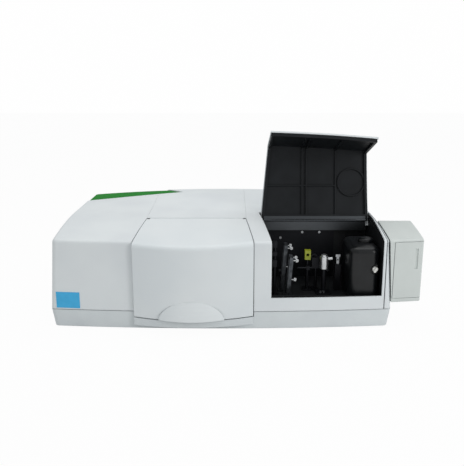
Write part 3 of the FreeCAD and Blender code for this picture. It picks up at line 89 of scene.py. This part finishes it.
def drift_colour(tree, shader, place, first, second, size_mm):
    """Lets the colour wander between two tones in soft patches of a real size."""
    patches = add_node(
        tree, "ShaderNodeTexNoise", {"Scale": 1000 / size_mm, "Detail": 2.0}, {"Vector": place}
    )
    spread = add_node(
        tree, "ShaderNodeMapRange", {"From Min": 0.35, "From Max": 0.65}, {"Value": patches.outputs["Fac"]}
    )
    mixed = add_node(
        tree,
        "ShaderNodeMixRGB",
        {"Color1": linear(first), "Color2": linear(second)},
        {"Fac": spread.outputs["Result"]},
    )
    tree.links.new(mixed.outputs["Color"], shader.inputs["Base Color"])


def raise_grain(tree, shader, place, size_mm, depth_mm, stretch=(1.0, 1.0, 1.0), edge_mm=0.0):
    """Bumps of a real size and depth, drawn out along an axis where stretch is small.

    Where edge_mm is set, thick paint also rounds the look of every edge by that much.
    """
    stretched = add_node(tree, "ShaderNodeMapping", {"Scale": stretch}, {"Vector": place})
    bumps = add_node(
        tree,
        "ShaderNodeTexNoise",
        {"Scale": 1000 / size_mm, "Detail": 3.0},
        {"Vector": stretched.outputs["Vector"]},
    )
    height = bumps.outputs["Fac"]
    relief = add_node(tree, "ShaderNodeBump", {"Distance": depth_mm / 1000}, {"Height": height})
    if edge_mm:
        rounded = add_node(tree, "ShaderNodeBevel", {"samples": 6, "Radius": edge_mm / 1000})
        tree.links.new(rounded.outputs["Normal"], relief.inputs["Normal"])
    tree.links.new(relief.outputs["Normal"], shader.inputs["Normal"])
    return height


def vary_gloss(tree, shader, source, low, high):
    """Makes the surface glossier and duller with a pattern."""
    gloss = add_node(tree, "ShaderNodeMapRange", {"To Min": low, "To Max": high}, {"Value": source})
    tree.links.new(gloss.outputs["Result"], shader.inputs["Roughness"])


def dress(finish, names):
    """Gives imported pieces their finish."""
    for name in names:
        piece = nodes[name]
        piece.data.materials.clear()
        piece.data.materials.append(finish)


casing_paint, tree, shader, place = start_finish("sprayed_texture_paint", paint_colour, roughness=0.45)
drift_colour(tree, shader, place, paint_colour, paint_shade, paint_drift_mm)
pimples = raise_grain(tree, shader, place, paint_pimple_mm, paint_pimple_depth_mm, edge_mm=soft_edge_mm)
vary_gloss(tree, shader, pimples, low=0.38, high=0.52)
dress(casing_paint, casing_nodes)

# Base tray: one deep structural-foam moulding that carries everything, painted in the same
# way as the casing but half a tone greyer. Foam moulding leaves faint swirls under the paint.

tray_colour = "#D9DFE0"
tray_swirl = "#D2D8DA"

tray_paint, tree, shader, place = start_finish("painted_structural_foam", tray_colour, roughness=0.5)
drift_colour(tree, shader, place, tray_colour, tray_swirl, size_mm=90)
pimples = raise_grain(tree, shader, place, size_mm=2.6, depth_mm=0.06, edge_mm=soft_edge_mm)
vary_gloss(tree, shader, pimples, low=0.42, high=0.58)
dress(tray_paint, ["base_tray"])

# Feet: six moulded rubber discs pressed into sockets under the tray. Moulded rubber is matt
# and picks up a grey bloom, which shows as slightly paler patches.

foot_rubber, tree, shader, place = start_finish("moulded_rubber", "#1D1E1F", roughness=0.8)
drift_colour(tree, shader, place, "#1A1B1C", "#2A2B2C", size_mm=9)
raise_grain(tree, shader, place, size_mm=1.5, depth_mm=0.1)
dress(foot_rubber, ["rubber_feet"])

# Roof insert: a separate vacuum-formed ABS panel let into the rear corner, in a low-sheen satin green.
# The sheet is smooth, with a faint orange peel from the forming.

insert_abs, tree, shader, place = start_finish("satin_formed_abs", "#25812E", roughness=0.7)
shader.inputs["Specular IOR Level"].default_value = 0.1
drift_colour(tree, shader, place, "#278430", "#217A2A", size_mm=120)
peel = raise_grain(tree, shader, place, size_mm=4.0, depth_mm=0.04)
vary_gloss(tree, shader, peel, low=0.64, high=0.78)
dress(insert_abs, ["green_insert"])

# Badge plate: a bare film-faced aluminium plate bonded to the front. The film is one plain blue
# under a glossy clear layer, and its die-cut edge is slightly rounded.

badge_film, tree, shader, place = start_finish("plain_blue_film", "#35B2E6", roughness=0.3, coat=0.2)
drift_colour(tree, shader, place, "#35B2E6", "#2FACE0", size_mm=20)
raise_grain(tree, shader, place, size_mm=0.8, depth_mm=0.004, edge_mm=0.6)
dress(badge_film, ["badge_plate"])

# Sample cover: a thick moulding that bulges forward and lifts on two pins at its rear. It has
# the casing's texture paint, rubbed a little smoother where hands pull it up.

cover_colour = "#E2E7E8"
cover_low, cover_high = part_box("sample_cover")

cover_paint, tree, shader, place = start_finish("rubbed_texture_paint", cover_colour, roughness=0.42)
drift_colour(tree, shader, place, cover_colour, "#DCE2E4", size_mm=200)
pimples = raise_grain(tree, shader, place, size_mm=2.2, depth_mm=0.045, edge_mm=soft_edge_mm)
parts = add_node(tree, "ShaderNodeSeparateXYZ", links={"Vector": place})
handled = add_node(
    tree,
    "ShaderNodeMapRange",
    {"From Min": cover_low.z, "From Max": cover_low.z + 0.08, "To Min": 0.34, "To Max": 0.46},
    {"Value": parts.outputs["Z"]},
)
tree.links.new(handled.outputs["Result"], shader.inputs["Roughness"])
dress(cover_paint, ["sample_cover"])

# Detector lid: the roof and front of the detector bay in one folded moulding, painted outside
# like the casing. Its thin free edges catch the light as a pale line round the black liner.

dress(casing_paint, ["detector_lid"])

# Black mouldings: the bay tubs and the lid's liner are flame-retardant ABS, moulded in a
# spark-eroded tool. The fine matt grain kills stray light, and dust shows on it as grey specks.

black_abs_colour = "#0F1012"
black_abs_dust = "#1B1D1F"

black_abs, tree, shader, place = start_finish("spark_grained_abs", black_abs_colour, roughness=0.55)
shader.inputs["Specular IOR Level"].default_value = 0.35
drift_colour(tree, shader, place, black_abs_colour, black_abs_dust, size_mm=70)
spark = raise_grain(tree, shader, place, size_mm=1.4, depth_mm=0.06)
vary_gloss(tree, shader, spark, low=0.48, high=0.66)
dress(black_abs, ["detector_bay_liner", "sample_bay_liner"])

# The lid's liner is thermoformed from the same plastic. Forming stretches the grain flat, so it
# is a shade lighter than the tubs and its ribs show a dull edge.

formed_abs, tree, shader, place = start_finish("thermoformed_abs", "#15181B", roughness=0.5)
shader.inputs["Specular IOR Level"].default_value = 0.22
drift_colour(tree, shader, place, "#14171A", "#1B1E21", size_mm=60)
flat_grain = raise_grain(tree, shader, place, size_mm=2.0, depth_mm=0.03, edge_mm=1.0)
vary_gloss(tree, shader, flat_grain, low=0.44, high=0.58)
dress(formed_abs, ["lid_liner"])

# Hinges: a rolled steel piano hinge along the rear of the lid, and two steel blocks with pins
# for the sample cover. The steel is cold rolled, with fine lines along its length.

hinge_steel, tree, shader, place = start_finish("cold_rolled_steel", "#4E5154", roughness=0.45, metallic=1.0)
lines = raise_grain(tree, shader, place, size_mm=0.9, depth_mm=0.02, stretch=(0.02, 1.0, 1.0))
vary_gloss(tree, shader, lines, low=0.28, high=0.46)
dress(hinge_steel, ["lid_hinge_leaf", "case_hinge_leaf", "lid_hinge_pin", "cover_hinge_blocks"])

# Anodised parts: the stands, plates and cell holders of the bays are milled aluminium, bead
# blasted and anodised black. They look charcoal, with a soft sheen along the milled faces.

anodised, tree, shader, place = start_finish(
    "black_anodised_aluminium", "#1E1F23", roughness=0.34, metallic=0.75
)
blast = raise_grain(tree, shader, place, size_mm=0.9, depth_mm=0.03)
vary_gloss(tree, shader, blast, low=0.34, high=0.52)
anodised_nodes = [
    "bay_back_plate",
    "bay_stands",
    "holder_stand",
    "cell_carrier",
    "cell_holders",
    "port_ring",
    "aperture_guide",
]
dress(anodised, anodised_nodes)

# Mirror stands: the two leaning frames are milled from plate and anodised as well. Their light grey, in soft
# patches, is painted highlight that stands in for their lit long edges, so they stand out grey against the
# dark bay.

# Light grey all over, a painted highlight for the stands' lit long edges.
stand_grey_painted_highlight, tree, shader, place = start_finish(
    "anodised_aluminium_painted_highlight", "#45484C", roughness=0.36, metallic=0.8
)
drift_colour(tree, shader, place, "#3B3E42", "#5A5D61", size_mm=14)
blast = raise_grain(tree, shader, place, size_mm=0.9, depth_mm=0.03)
vary_gloss(tree, shader, blast, low=0.28, high=0.46)
dress(stand_grey_painted_highlight, ["mirror_stands"])

# Small steel parts of the bays: the sliding aperture bar, the sprung clamp, its spring and the
# socket-head screws. They are ground or turned, so their lines run across the light.

turned_steel, tree, shader, place = start_finish("turned_steel", "#A9ACAF", roughness=0.32, metallic=1.0)
rings = raise_grain(tree, shader, place, size_mm=0.7, depth_mm=0.015, stretch=(1.0, 1.0, 0.1))
vary_gloss(tree, shader, rings, low=0.22, high=0.38)
dress(turned_steel, ["aperture_slide", "sample_clamp", "clamp_spring", "bay_screws"])

# Bright parts: the sample holder's grooved cup and the mirror adjusters, turned in brass and
# plated with satin nickel, which keeps the turning rings and a broad pale sheen.

nickel, tree, shader, place = start_finish("satin_nickel", "#CFD1D2", roughness=0.4, metallic=1.0)
rings = raise_grain(tree, shader, place, size_mm=0.8, depth_mm=0.02, stretch=(0.1, 0.1, 1.0))
vary_gloss(tree, shader, rings, low=0.32, high=0.46)
dress(nickel, ["silver_holder", "mirror_adjusters"])

# Mirrors: front-silvered glass plates in the leaning stands and the half-silvered chopper disc.
# The coating is perfectly smooth, with a faint haze of cleaning wipes.

silvered, tree, shader, place = start_finish("front_silvered_glass", "#C9CDD1", roughness=0.04, metallic=1.0)
wipes = raise_grain(tree, shader, place, size_mm=14.0, depth_mm=0.002, stretch=(1.0, 0.3, 1.0))
vary_gloss(tree, shader, wipes, low=0.03, high=0.1)
dress(silvered, ["fold_mirrors", "chopper_wheel"])

# Filter block: a cube of dyed acrylic in the beam, yellow green, which stands out between the
# black stands. The dye is a little uneven, and the faces are smooth.

filter_dye, tree, shader, place = start_finish("dyed_acrylic", "#8E9A1E", roughness=0.3)
drift_colour(tree, shader, place, "#8A961B", "#A3AA2C", size_mm=12)
raise_grain(tree, shader, place, size_mm=3.0, depth_mm=0.01)
dress(filter_dye, ["filter_block"])

# Sphere housing: a heavy black moulding round the integrating sphere, with a bead-blasted skin
# that is shinier than the tub behind it, so its corner and dome catch a long soft highlight.

sphere_abs, tree, shader, place = start_finish("satin_black_moulding", "#0D0F11", roughness=0.34)
shader.inputs["Specular IOR Level"].default_value = 0.35
drift_colour(tree, shader, place, "#0C0E10", "#131517", size_mm=45)
skin = raise_grain(tree, shader, place, size_mm=1.8, depth_mm=0.03, edge_mm=2.0)
vary_gloss(tree, shader, skin, low=0.24, high=0.38)
dress(sphere_abs, ["sphere_housing"])

# White parts: the port knob, the lamps' ceramic bases and the sphere's pressed white lining.
# All are chalky and diffuse; the knob is a little smoother from handling.

white_knob, tree, shader, place = start_finish("moulded_white_acetal", "#E9E9E4", roughness=0.35)
drift_colour(tree, shader, place, "#ECECE8", "#E0E0DA", size_mm=8)
raise_grain(tree, shader, place, size_mm=1.2, depth_mm=0.02)
dress(white_knob, ["port_knob"])

chalk, tree, shader, place = start_finish("pressed_white_ceramic", "#EDECE6", roughness=0.85)
drift_colour(tree, shader, place, "#F0EFEA", "#E4E3DC", size_mm=15)
raise_grain(tree, shader, place, size_mm=0.6, depth_mm=0.05)
dress(chalk, ["sphere_lining", "lamp_bases"])

# Side box and its door: two small mouldings over the reflectance port, in the casing's paint but from
# another tool, a touch greener, a shade darker and with a tighter grain; the darkening is partly painted
# shade for the box's shaded top.

# A shade darker than the casing, partly painted shade for the box's shaded top.
box_paint_and_shade, tree, shader, place = start_finish("fine_texture_paint_and_shade", "#CED4D1", roughness=0.5)
drift_colour(tree, shader, place, "#CFD5D2", "#C9CFCC", size_mm=110)
pimples = raise_grain(tree, shader, place, size_mm=1.8, depth_mm=0.04, edge_mm=1.5)
vary_gloss(tree, shader, pimples, low=0.42, high=0.54)
dress(box_paint_and_shade, ["port_box", "port_door"])

# Beam windows and lamp bulbs: fused silica, thin and clear. The windows close the beam holes of
# the tubs and the bulbs stand on the lamp bases.

silica, tree, shader, place = start_finish("fused_silica", "#F4F8F8", roughness=0.03)
shader.inputs["Transmission Weight"].default_value = 1.0
shader.inputs["IOR"].default_value = 1.46
raise_grain(tree, shader, place, size_mm=20.0, depth_mm=0.002)
dress(silica, ["beam_windows", "lamp_bulbs"])

# Castings: the optical bench, the monochromator's tray and the turned mirror and filter mounts
# are cast aluminium, sand grey on their skins and brighter where they were milled.

cast_metal, tree, shader, place = start_finish("cast_aluminium", "#B4B7B9", roughness=0.5, metallic=0.9)
drift_colour(tree, shader, place, "#A9ACAE", "#C1C4C6", size_mm=30)
sand = raise_grain(tree, shader, place, size_mm=2.4, depth_mm=0.12)
vary_gloss(tree, shader, sand, low=0.4, high=0.62)
cast_nodes = [
    "optical_bench",
    "monochromator_casting",
    "front_grating",
    "rear_grating",
    "relay_mirrors",
    "lamp_mirror",
    "filter_wheel",
]
dress(cast_metal, cast_nodes)

# Sheet parts: the rear panel, the power supply's case and the lamp house are folded steel with a
# grey powder coat, which dries in a low orange peel.

powder_coat, tree, shader, place = start_finish("grey_powder_coat", "#B9BEC0", roughness=0.45)
drift_colour(tree, shader, place, "#BCC1C3", "#B2B7B9", size_mm=80)
peel = raise_grain(tree, shader, place, size_mm=2.0, depth_mm=0.05)
vary_gloss(tree, shader, peel, low=0.38, high=0.5)
dress(powder_coat, ["rear_panel", "power_supply", "lamp_house"])

# Black electrical parts: the fan, the mains inlet, its rocker and the chopper's motor are
# glass-filled nylon, near black with a slight lustre.

nylon, tree, shader, place = start_finish("glass_filled_nylon", "#17181A", roughness=0.42)
drift_colour(tree, shader, place, "#161719", "#222426", size_mm=10)
fibres = raise_grain(tree, shader, place, size_mm=0.9, depth_mm=0.03)
vary_gloss(tree, shader, fibres, low=0.35, high=0.5)
dress(nylon, ["fan_frame", "fan_rotor", "mains_inlet", "power_rocker", "chopper_motor"])

# Circuit board: epoxy glass under green solder resist. The weave of the glass shows through as a
# faint grid, drawn here twice as coarse as it is.

board_weave_mm = 1.6

resist, tree, shader, place = start_finish("green_solder_resist", "#1E5A32", roughness=0.3, coat=0.3)
weave = add_node(tree, "ShaderNodeTexChecker", {"Scale": 1000 / board_weave_mm}, {"Vector": place})
relief = add_node(tree, "ShaderNodeBump", {"Distance": 0.00002}, {"Height": weave.outputs["Fac"]})
tree.links.new(relief.outputs["Normal"], shader.inputs["Normal"])
drift_colour(tree, shader, place, "#1D5830", "#236239", size_mm=25)
dress(resist, ["circuit_board"])

# Data sockets and purge fittings: plated steel shells, and turned brass barbs for the purge gas.

plated, tree, shader, place = start_finish("tin_plated_steel", "#B7B9BA", roughness=0.28, metallic=1.0)
raise_grain(tree, shader, place, size_mm=1.0, depth_mm=0.01)
dress(plated, ["data_sockets"])

brass, tree, shader, place = start_finish("turned_brass", "#C9A254", roughness=0.25, metallic=1.0)
rings = raise_grain(tree, shader, place, size_mm=0.8, depth_mm=0.02, stretch=(0.1, 1.0, 0.1))
vary_gloss(tree, shader, rings, low=0.18, high=0.34)
dress(brass, ["purge_fittings"])

# Screws: zinc-plated socket heads that hold the rear panel. Every row is one tree of geometry
# nodes that sets heads along a line; each head has a round socket in its top.

head_sides = 20
socket_share = 0.5
socket_depth = 0.0012


def screw_tree():
    """Geometry nodes that put screw heads at even steps along a line."""
    tree = bpy.data.node_groups.new("screw_row", "GeometryNodeTree")
    sockets = [
        ("Count", "NodeSocketInt"),
        ("Start", "NodeSocketVector"),
        ("Step", "NodeSocketVector"),
        ("Turn", "NodeSocketVector"),
        ("Head radius", "NodeSocketFloat"),
        ("Head height", "NodeSocketFloat"),
        ("Finish", "NodeSocketMaterial"),
    ]
    for name, kind in sockets:
        tree.interface.new_socket(name, in_out="INPUT", socket_type=kind)
    tree.interface.new_socket("Geometry", in_out="OUTPUT", socket_type="NodeSocketGeometry")
    given = add_node(tree, "NodeGroupInput").outputs
    line = add_node(
        tree,
        "GeometryNodeMeshLine",
        {"mode": "OFFSET"},
        {"Count": given["Count"], "Start Location": given["Start"], "Offset": given["Step"]},
    )
    head = add_node(
        tree,
        "GeometryNodeMeshCylinder",
        {"Vertices": head_sides},
        {"Radius": given["Head radius"], "Depth": given["Head height"]},
    )
    rim = add_node(
        tree,
        "GeometryNodeExtrudeMesh",
        {"mode": "FACES", "Offset Scale": 0.0},
        {"Mesh": head.outputs["Mesh"], "Selection": head.outputs["Top"]},
    )
    narrowed = add_node(
        tree,
        "GeometryNodeScaleElements",
        {"Scale": socket_share},
        {"Geometry": rim.outputs["Mesh"], "Selection": rim.outputs["Top"]},
    )
    sunk = add_node(
        tree,
        "GeometryNodeExtrudeMesh",
        {"mode": "FACES", "Offset Scale": -socket_depth},
        {"Mesh": narrowed.outputs["Geometry"], "Selection": rim.outputs["Top"]},
    )
    rows = add_node(
        tree,
        "GeometryNodeInstanceOnPoints",
        links={"Points": line.outputs["Mesh"], "Instance": sunk.outputs["Mesh"], "Rotation": given["Turn"]},
    )
    real = add_node(tree, "GeometryNodeRealizeInstances", links={"Geometry": rows.outputs["Instances"]})
    finished = add_node(
        tree,
        "GeometryNodeSetMaterial",
        links={"Geometry": real.outputs["Geometry"], "Material": given["Finish"]},
    )
    add_node(tree, "NodeGroupOutput", links={"Geometry": finished.outputs["Geometry"]})
    return tree


def grow(name, tree, values):
    """Runs a geometry tree with these inputs and keeps the result as one plain mesh."""
    seed = bpy.data.objects.new(name + "_seed", bpy.data.meshes.new(name + "_seed"))
    bpy.context.scene.collection.objects.link(seed)
    modifier = seed.modifiers.new("grow", "NODES")
    modifier.node_group = tree
    for item in tree.interface.items_tree:
        if item.in_out == "INPUT" and item.name in values:
            modifier[item.identifier] = values[item.name]
    bpy.context.view_layer.update()
    shape = bpy.data.meshes.new_from_object(seed.evaluated_get(bpy.context.evaluated_depsgraph_get()))
    bpy.data.objects.remove(seed)
    piece = bpy.data.objects.new(name, shape)
    bpy.context.scene.collection.objects.link(piece)
    return piece


zinc, tree, shader, place = start_finish("bright_zinc_plate", "#B9BCBC", roughness=0.34, metallic=1.0)
raise_grain(tree, shader, place, size_mm=0.9, depth_mm=0.01)
screw_nodes = screw_tree()


def screw_row(name, body, start, step, count, turn, radius, height):
    """One row of screw heads that stays with a body of the instrument."""
    values = {
        "Count": count,
        "Start": start,
        "Step": step,
        "Turn": turn,
        "Head radius": radius,
        "Head height": height,
        "Finish": zinc,
    }
    row = grow(name, screw_nodes, values)
    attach(row, body)


panel_low, panel_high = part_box("rear_panel")
screw_inset = 0.009
panel_screw_radius = 0.0035
panel_screw_height = 0.002
screws_across = 7
screw_pitch = (panel_high.x - panel_low.x - 2 * screw_inset) / (screws_across - 1)
facing_rear = (-math.pi / 2, 0.0, 0.0)
for edge, height in (("low", panel_low.z + screw_inset), ("high", panel_high.z - screw_inset)):
    screw_row(
        "rear_panel_screws_" + edge,
        "root",
        (panel_low.x + screw_inset, panel_high.y + panel_screw_height / 2, height),
        (screw_pitch, 0.0, 0.0),
        screws_across,
        facing_rear,
        panel_screw_radius,
        panel_screw_height,
    )

# Fan guard: four rings of chromed wire on two crossed wires, screwed over the fan's outlet. The
# wire is 1.6 mm thick and welded where it crosses.

guard_wire = 0.0008
guard_rings = 4
guard_sides = 48
guard_lean = math.pi / 4
ring_pitches = 4.3
fan_low, fan_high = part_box("fan_frame")
fan_middle = (fan_low + fan_high) / 2
fan_reach = min(fan_high.x - fan_low.x, fan_high.z - fan_low.z) / 2

chrome, tree, shader, place = start_finish("chromed_wire", "#BDBFC1", roughness=0.2, metallic=1.0)
raise_grain(tree, shader, place, size_mm=1.2, depth_mm=0.01)


def wire_loop(path, points, closed):
    """Adds one wire to a curve, through points in the plane of the rear panel."""
    wire = path.splines.new("POLY")
    wire.points.add(len(points) - 1)
    for spot, (across, height) in zip(wire.points, points):
        spot.co = (fan_middle.x + across, panel_high.y + 2 * guard_wire, fan_middle.z + height, 1.0)
    wire.use_cyclic_u = closed


guard_path = bpy.data.curves.new("fan_guard", "CURVE")
guard_path.dimensions = "3D"
guard_path.bevel_depth = guard_wire
guard_path.bevel_resolution = 2
for ring in range(guard_rings):
    ring_radius = fan_reach * (ring + 1) / ring_pitches
    turns = [2 * math.pi * step / guard_sides for step in range(guard_sides)]
    round_points = [(ring_radius * math.cos(turn), ring_radius * math.sin(turn)) for turn in turns]
    wire_loop(guard_path, round_points, True)
for lean in (guard_lean, -guard_lean):
    tip = (fan_reach * math.cos(lean), fan_reach * math.sin(lean))
    wire_loop(guard_path, [tip, (-tip[0], -tip[1])], False)
guard_path.materials.append(chrome)
fan_guard = bpy.data.objects.new("fan_guard", guard_path)
bpy.context.scene.collection.objects.link(fan_guard)
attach(fan_guard, "root")

# Knurled collars: a straight-knurled nickel ring on each mirror adjuster, so that it can be turned
# by two fingers. Each ring is one mesh with a tooth at every second point of its outline.


def loose_boxes(name):
    """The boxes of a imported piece's separate solids."""
    mesh = nodes[name].data
    spots = {}
    for vertex in mesh.vertices:
        key = tuple(round(part, 6) for part in vertex.co)
        spots.setdefault(key, []).append(vertex.index)
    first = {index: members[0] for members in spots.values() for index in members}
    parent = {index: index for index in first.values()}

    def top(index):
        while parent[index] != index:
            parent[index] = parent[parent[index]]
            index = parent[index]
        return index

    for edge in mesh.edges:
        ends = [top(first[index]) for index in edge.vertices]
        parent[ends[0]] = ends[1]
    groups = {}
    for index in parent:
        groups.setdefault(top(index), []).append(mesh.vertices[index].co)
    boxes = []
    for group in groups.values():
        low = Vector([min(spot[axis] for spot in group) for axis in range(3)])
        high = Vector([max(spot[axis] for spot in group) for axis in range(3)])
        boxes.append((low, high))
    return sorted(boxes, key=lambda box: tuple(box[0]))


collar_teeth = 24
collar_width = 0.006
collar_tooth = 0.0006
collar_wall = 0.0002
collar_back = 0.0015


def knurled_outline(radius):
    """Points round a straight-knurled ring, as distances across and up from its middle."""
    outline = []
    for step in range(2 * collar_teeth):
        turn = math.pi * step / collar_teeth
        reach = radius + (collar_tooth if step % 2 else 0.0)
        outline.append((reach * math.cos(turn), reach * math.sin(turn)))
    return outline


for number, (low, high) in enumerate(loose_boxes("mirror_adjusters"), start=1):
    middle = (low + high) / 2
    outline = knurled_outline((high.z - low.z) / 2 + collar_wall)
    collar_mesh = bmesh.new()
    rings = []
    for x in (high.x - collar_back - collar_width, high.x - collar_back):
        rings.append([collar_mesh.verts.new((x, middle.y + y, middle.z + z)) for y, z in outline])
    for step in range(len(outline)):
        following = (step + 1) % len(outline)
        collar_mesh.faces.new((rings[0][step], rings[0][following], rings[1][following], rings[1][step]))
    collar_mesh.faces.new(list(reversed(rings[0])))
    collar_mesh.faces.new(rings[1])
    bmesh.ops.recalc_face_normals(collar_mesh, faces=collar_mesh.faces)
    collar_data = bpy.data.meshes.new("adjuster_collar")
    collar_mesh.to_mesh(collar_data)
    collar_mesh.free()
    collar_data.materials.append(nickel)
    collar = bpy.data.objects.new("adjuster_collar_%d" % number, collar_data)
    bpy.context.scene.collection.objects.link(collar)
    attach(collar, "root")

# Floor and light: a pale sweep under a big soft ceiling light and a smaller one from the front
# right. The camera looks down a little on the instrument from just left of its middle.

floor_size = 12.0
white_level = 0.995
floor_share = 0.97

ground = bpy.data.meshes.new("floor")
shape = bmesh.new()
bmesh.ops.create_grid(shape, x_segments=1, y_segments=1, size=floor_size)
shape.to_mesh(ground)
shape.free()
floor = bpy.data.objects.new("floor", ground)
bpy.context.scene.collection.objects.link(floor)

sweep = bpy.data.materials.new("pale_sweep")
sweep.use_nodes = True
tree = sweep.node_tree
tree.nodes.clear()
paper = add_node(tree, "ShaderNodeBsdfDiffuse", {"Color": (0.8, 0.8, 0.8, 1.0)})
glow = add_node(tree, "ShaderNodeEmission", {"Color": (white_level, white_level, white_level, 1.0)})
rays = add_node(tree, "ShaderNodeLightPath").outputs
seen = add_node(tree, "ShaderNodeMath", {"operation": "MAXIMUM"})
tree.links.new(rays["Is Camera Ray"], seen.inputs[0])
tree.links.new(rays["Is Glossy Ray"], seen.inputs[1])
seen_glass = add_node(tree, "ShaderNodeMath", {"operation": "MAXIMUM"})
tree.links.new(seen.outputs["Value"], seen_glass.inputs[0])
tree.links.new(rays["Is Transmission Ray"], seen_glass.inputs[1])
part_glow = add_node(tree, "ShaderNodeMath", {"operation": "MULTIPLY"})
tree.links.new(seen_glass.outputs["Value"], part_glow.inputs[0])
part_glow.inputs[1].default_value = floor_share
mixed = add_node(tree, "ShaderNodeMixShader")
tree.links.new(part_glow.outputs["Value"], mixed.inputs[0])
tree.links.new(paper.outputs["BSDF"], mixed.inputs[1])
tree.links.new(glow.outputs["Emission"], mixed.inputs[2])
add_node(tree, "ShaderNodeOutputMaterial", links={"Surface": mixed.outputs["Shader"]})
ground.materials.append(sweep)

sky_level = 0.56
world = bpy.data.worlds.new("studio")
bpy.context.scene.world = world
world.use_nodes = True
tree = world.node_tree
tree.nodes.clear()
soft = add_node(tree, "ShaderNodeBackground", {"Color": (0.97, 0.985, 1.0, 1.0), "Strength": sky_level})
plain = add_node(tree, "ShaderNodeBackground", {"Color": (white_level, white_level, white_level, 1.0)})
rays = add_node(tree, "ShaderNodeLightPath").outputs
seen = add_node(tree, "ShaderNodeMath", {"operation": "MAXIMUM"})
tree.links.new(rays["Is Camera Ray"], seen.inputs[0])
tree.links.new(rays["Is Transmission Ray"], seen.inputs[1])
mixed = add_node(tree, "ShaderNodeMixShader")
tree.links.new(seen.outputs["Value"], mixed.inputs[0])
tree.links.new(soft.outputs["Background"], mixed.inputs[1])
tree.links.new(plain.outputs["Background"], mixed.inputs[2])
add_node(tree, "ShaderNodeOutputWorld", links={"Surface": mixed.outputs["Shader"]})


def soft_light(name, place_at, aim, width, height, watts):
    """A rectangular studio light that looks at a point."""
    lamp = bpy.data.lights.new(name, "AREA")
    lamp.shape = "RECTANGLE"
    lamp.size = width
    lamp.size_y = height
    lamp.energy = watts
    light = bpy.data.objects.new(name, lamp)
    light.location = place_at
    light.rotation_euler = (Vector(aim) - Vector(place_at)).to_track_quat("-Z", "Y").to_euler()
    bpy.context.scene.collection.objects.link(light)


soft_light("ceiling_light", (0.1, 0.2, 2.6), aim=(0.0, 0.0, 0.2), width=2.6, height=2.0, watts=25)
soft_light("front_right_light", (2.2, -2.2, 1.4), aim=(0.0, -0.1, 0.15), width=1.2, height=1.2, watts=25)

camera_place = Vector((-0.0115, -2.010, 0.727))
camera_pitch = math.radians(14)
camera_focal = 616.0
image_width = 464.0
sensor_mm = 36.0

optics = bpy.data.cameras.new("camera")
optics.sensor_fit = "HORIZONTAL"
optics.sensor_width = sensor_mm
optics.lens = sensor_mm * camera_focal / image_width
camera = bpy.data.objects.new("camera", optics)
camera.location = camera_place
camera.rotation_euler = (math.pi / 2 - camera_pitch, 0.0, 0.0)
bpy.context.scene.collection.objects.link(camera)
bpy.context.scene.camera = camera
bpy.context.scene.view_settings.view_transform = "Standard"
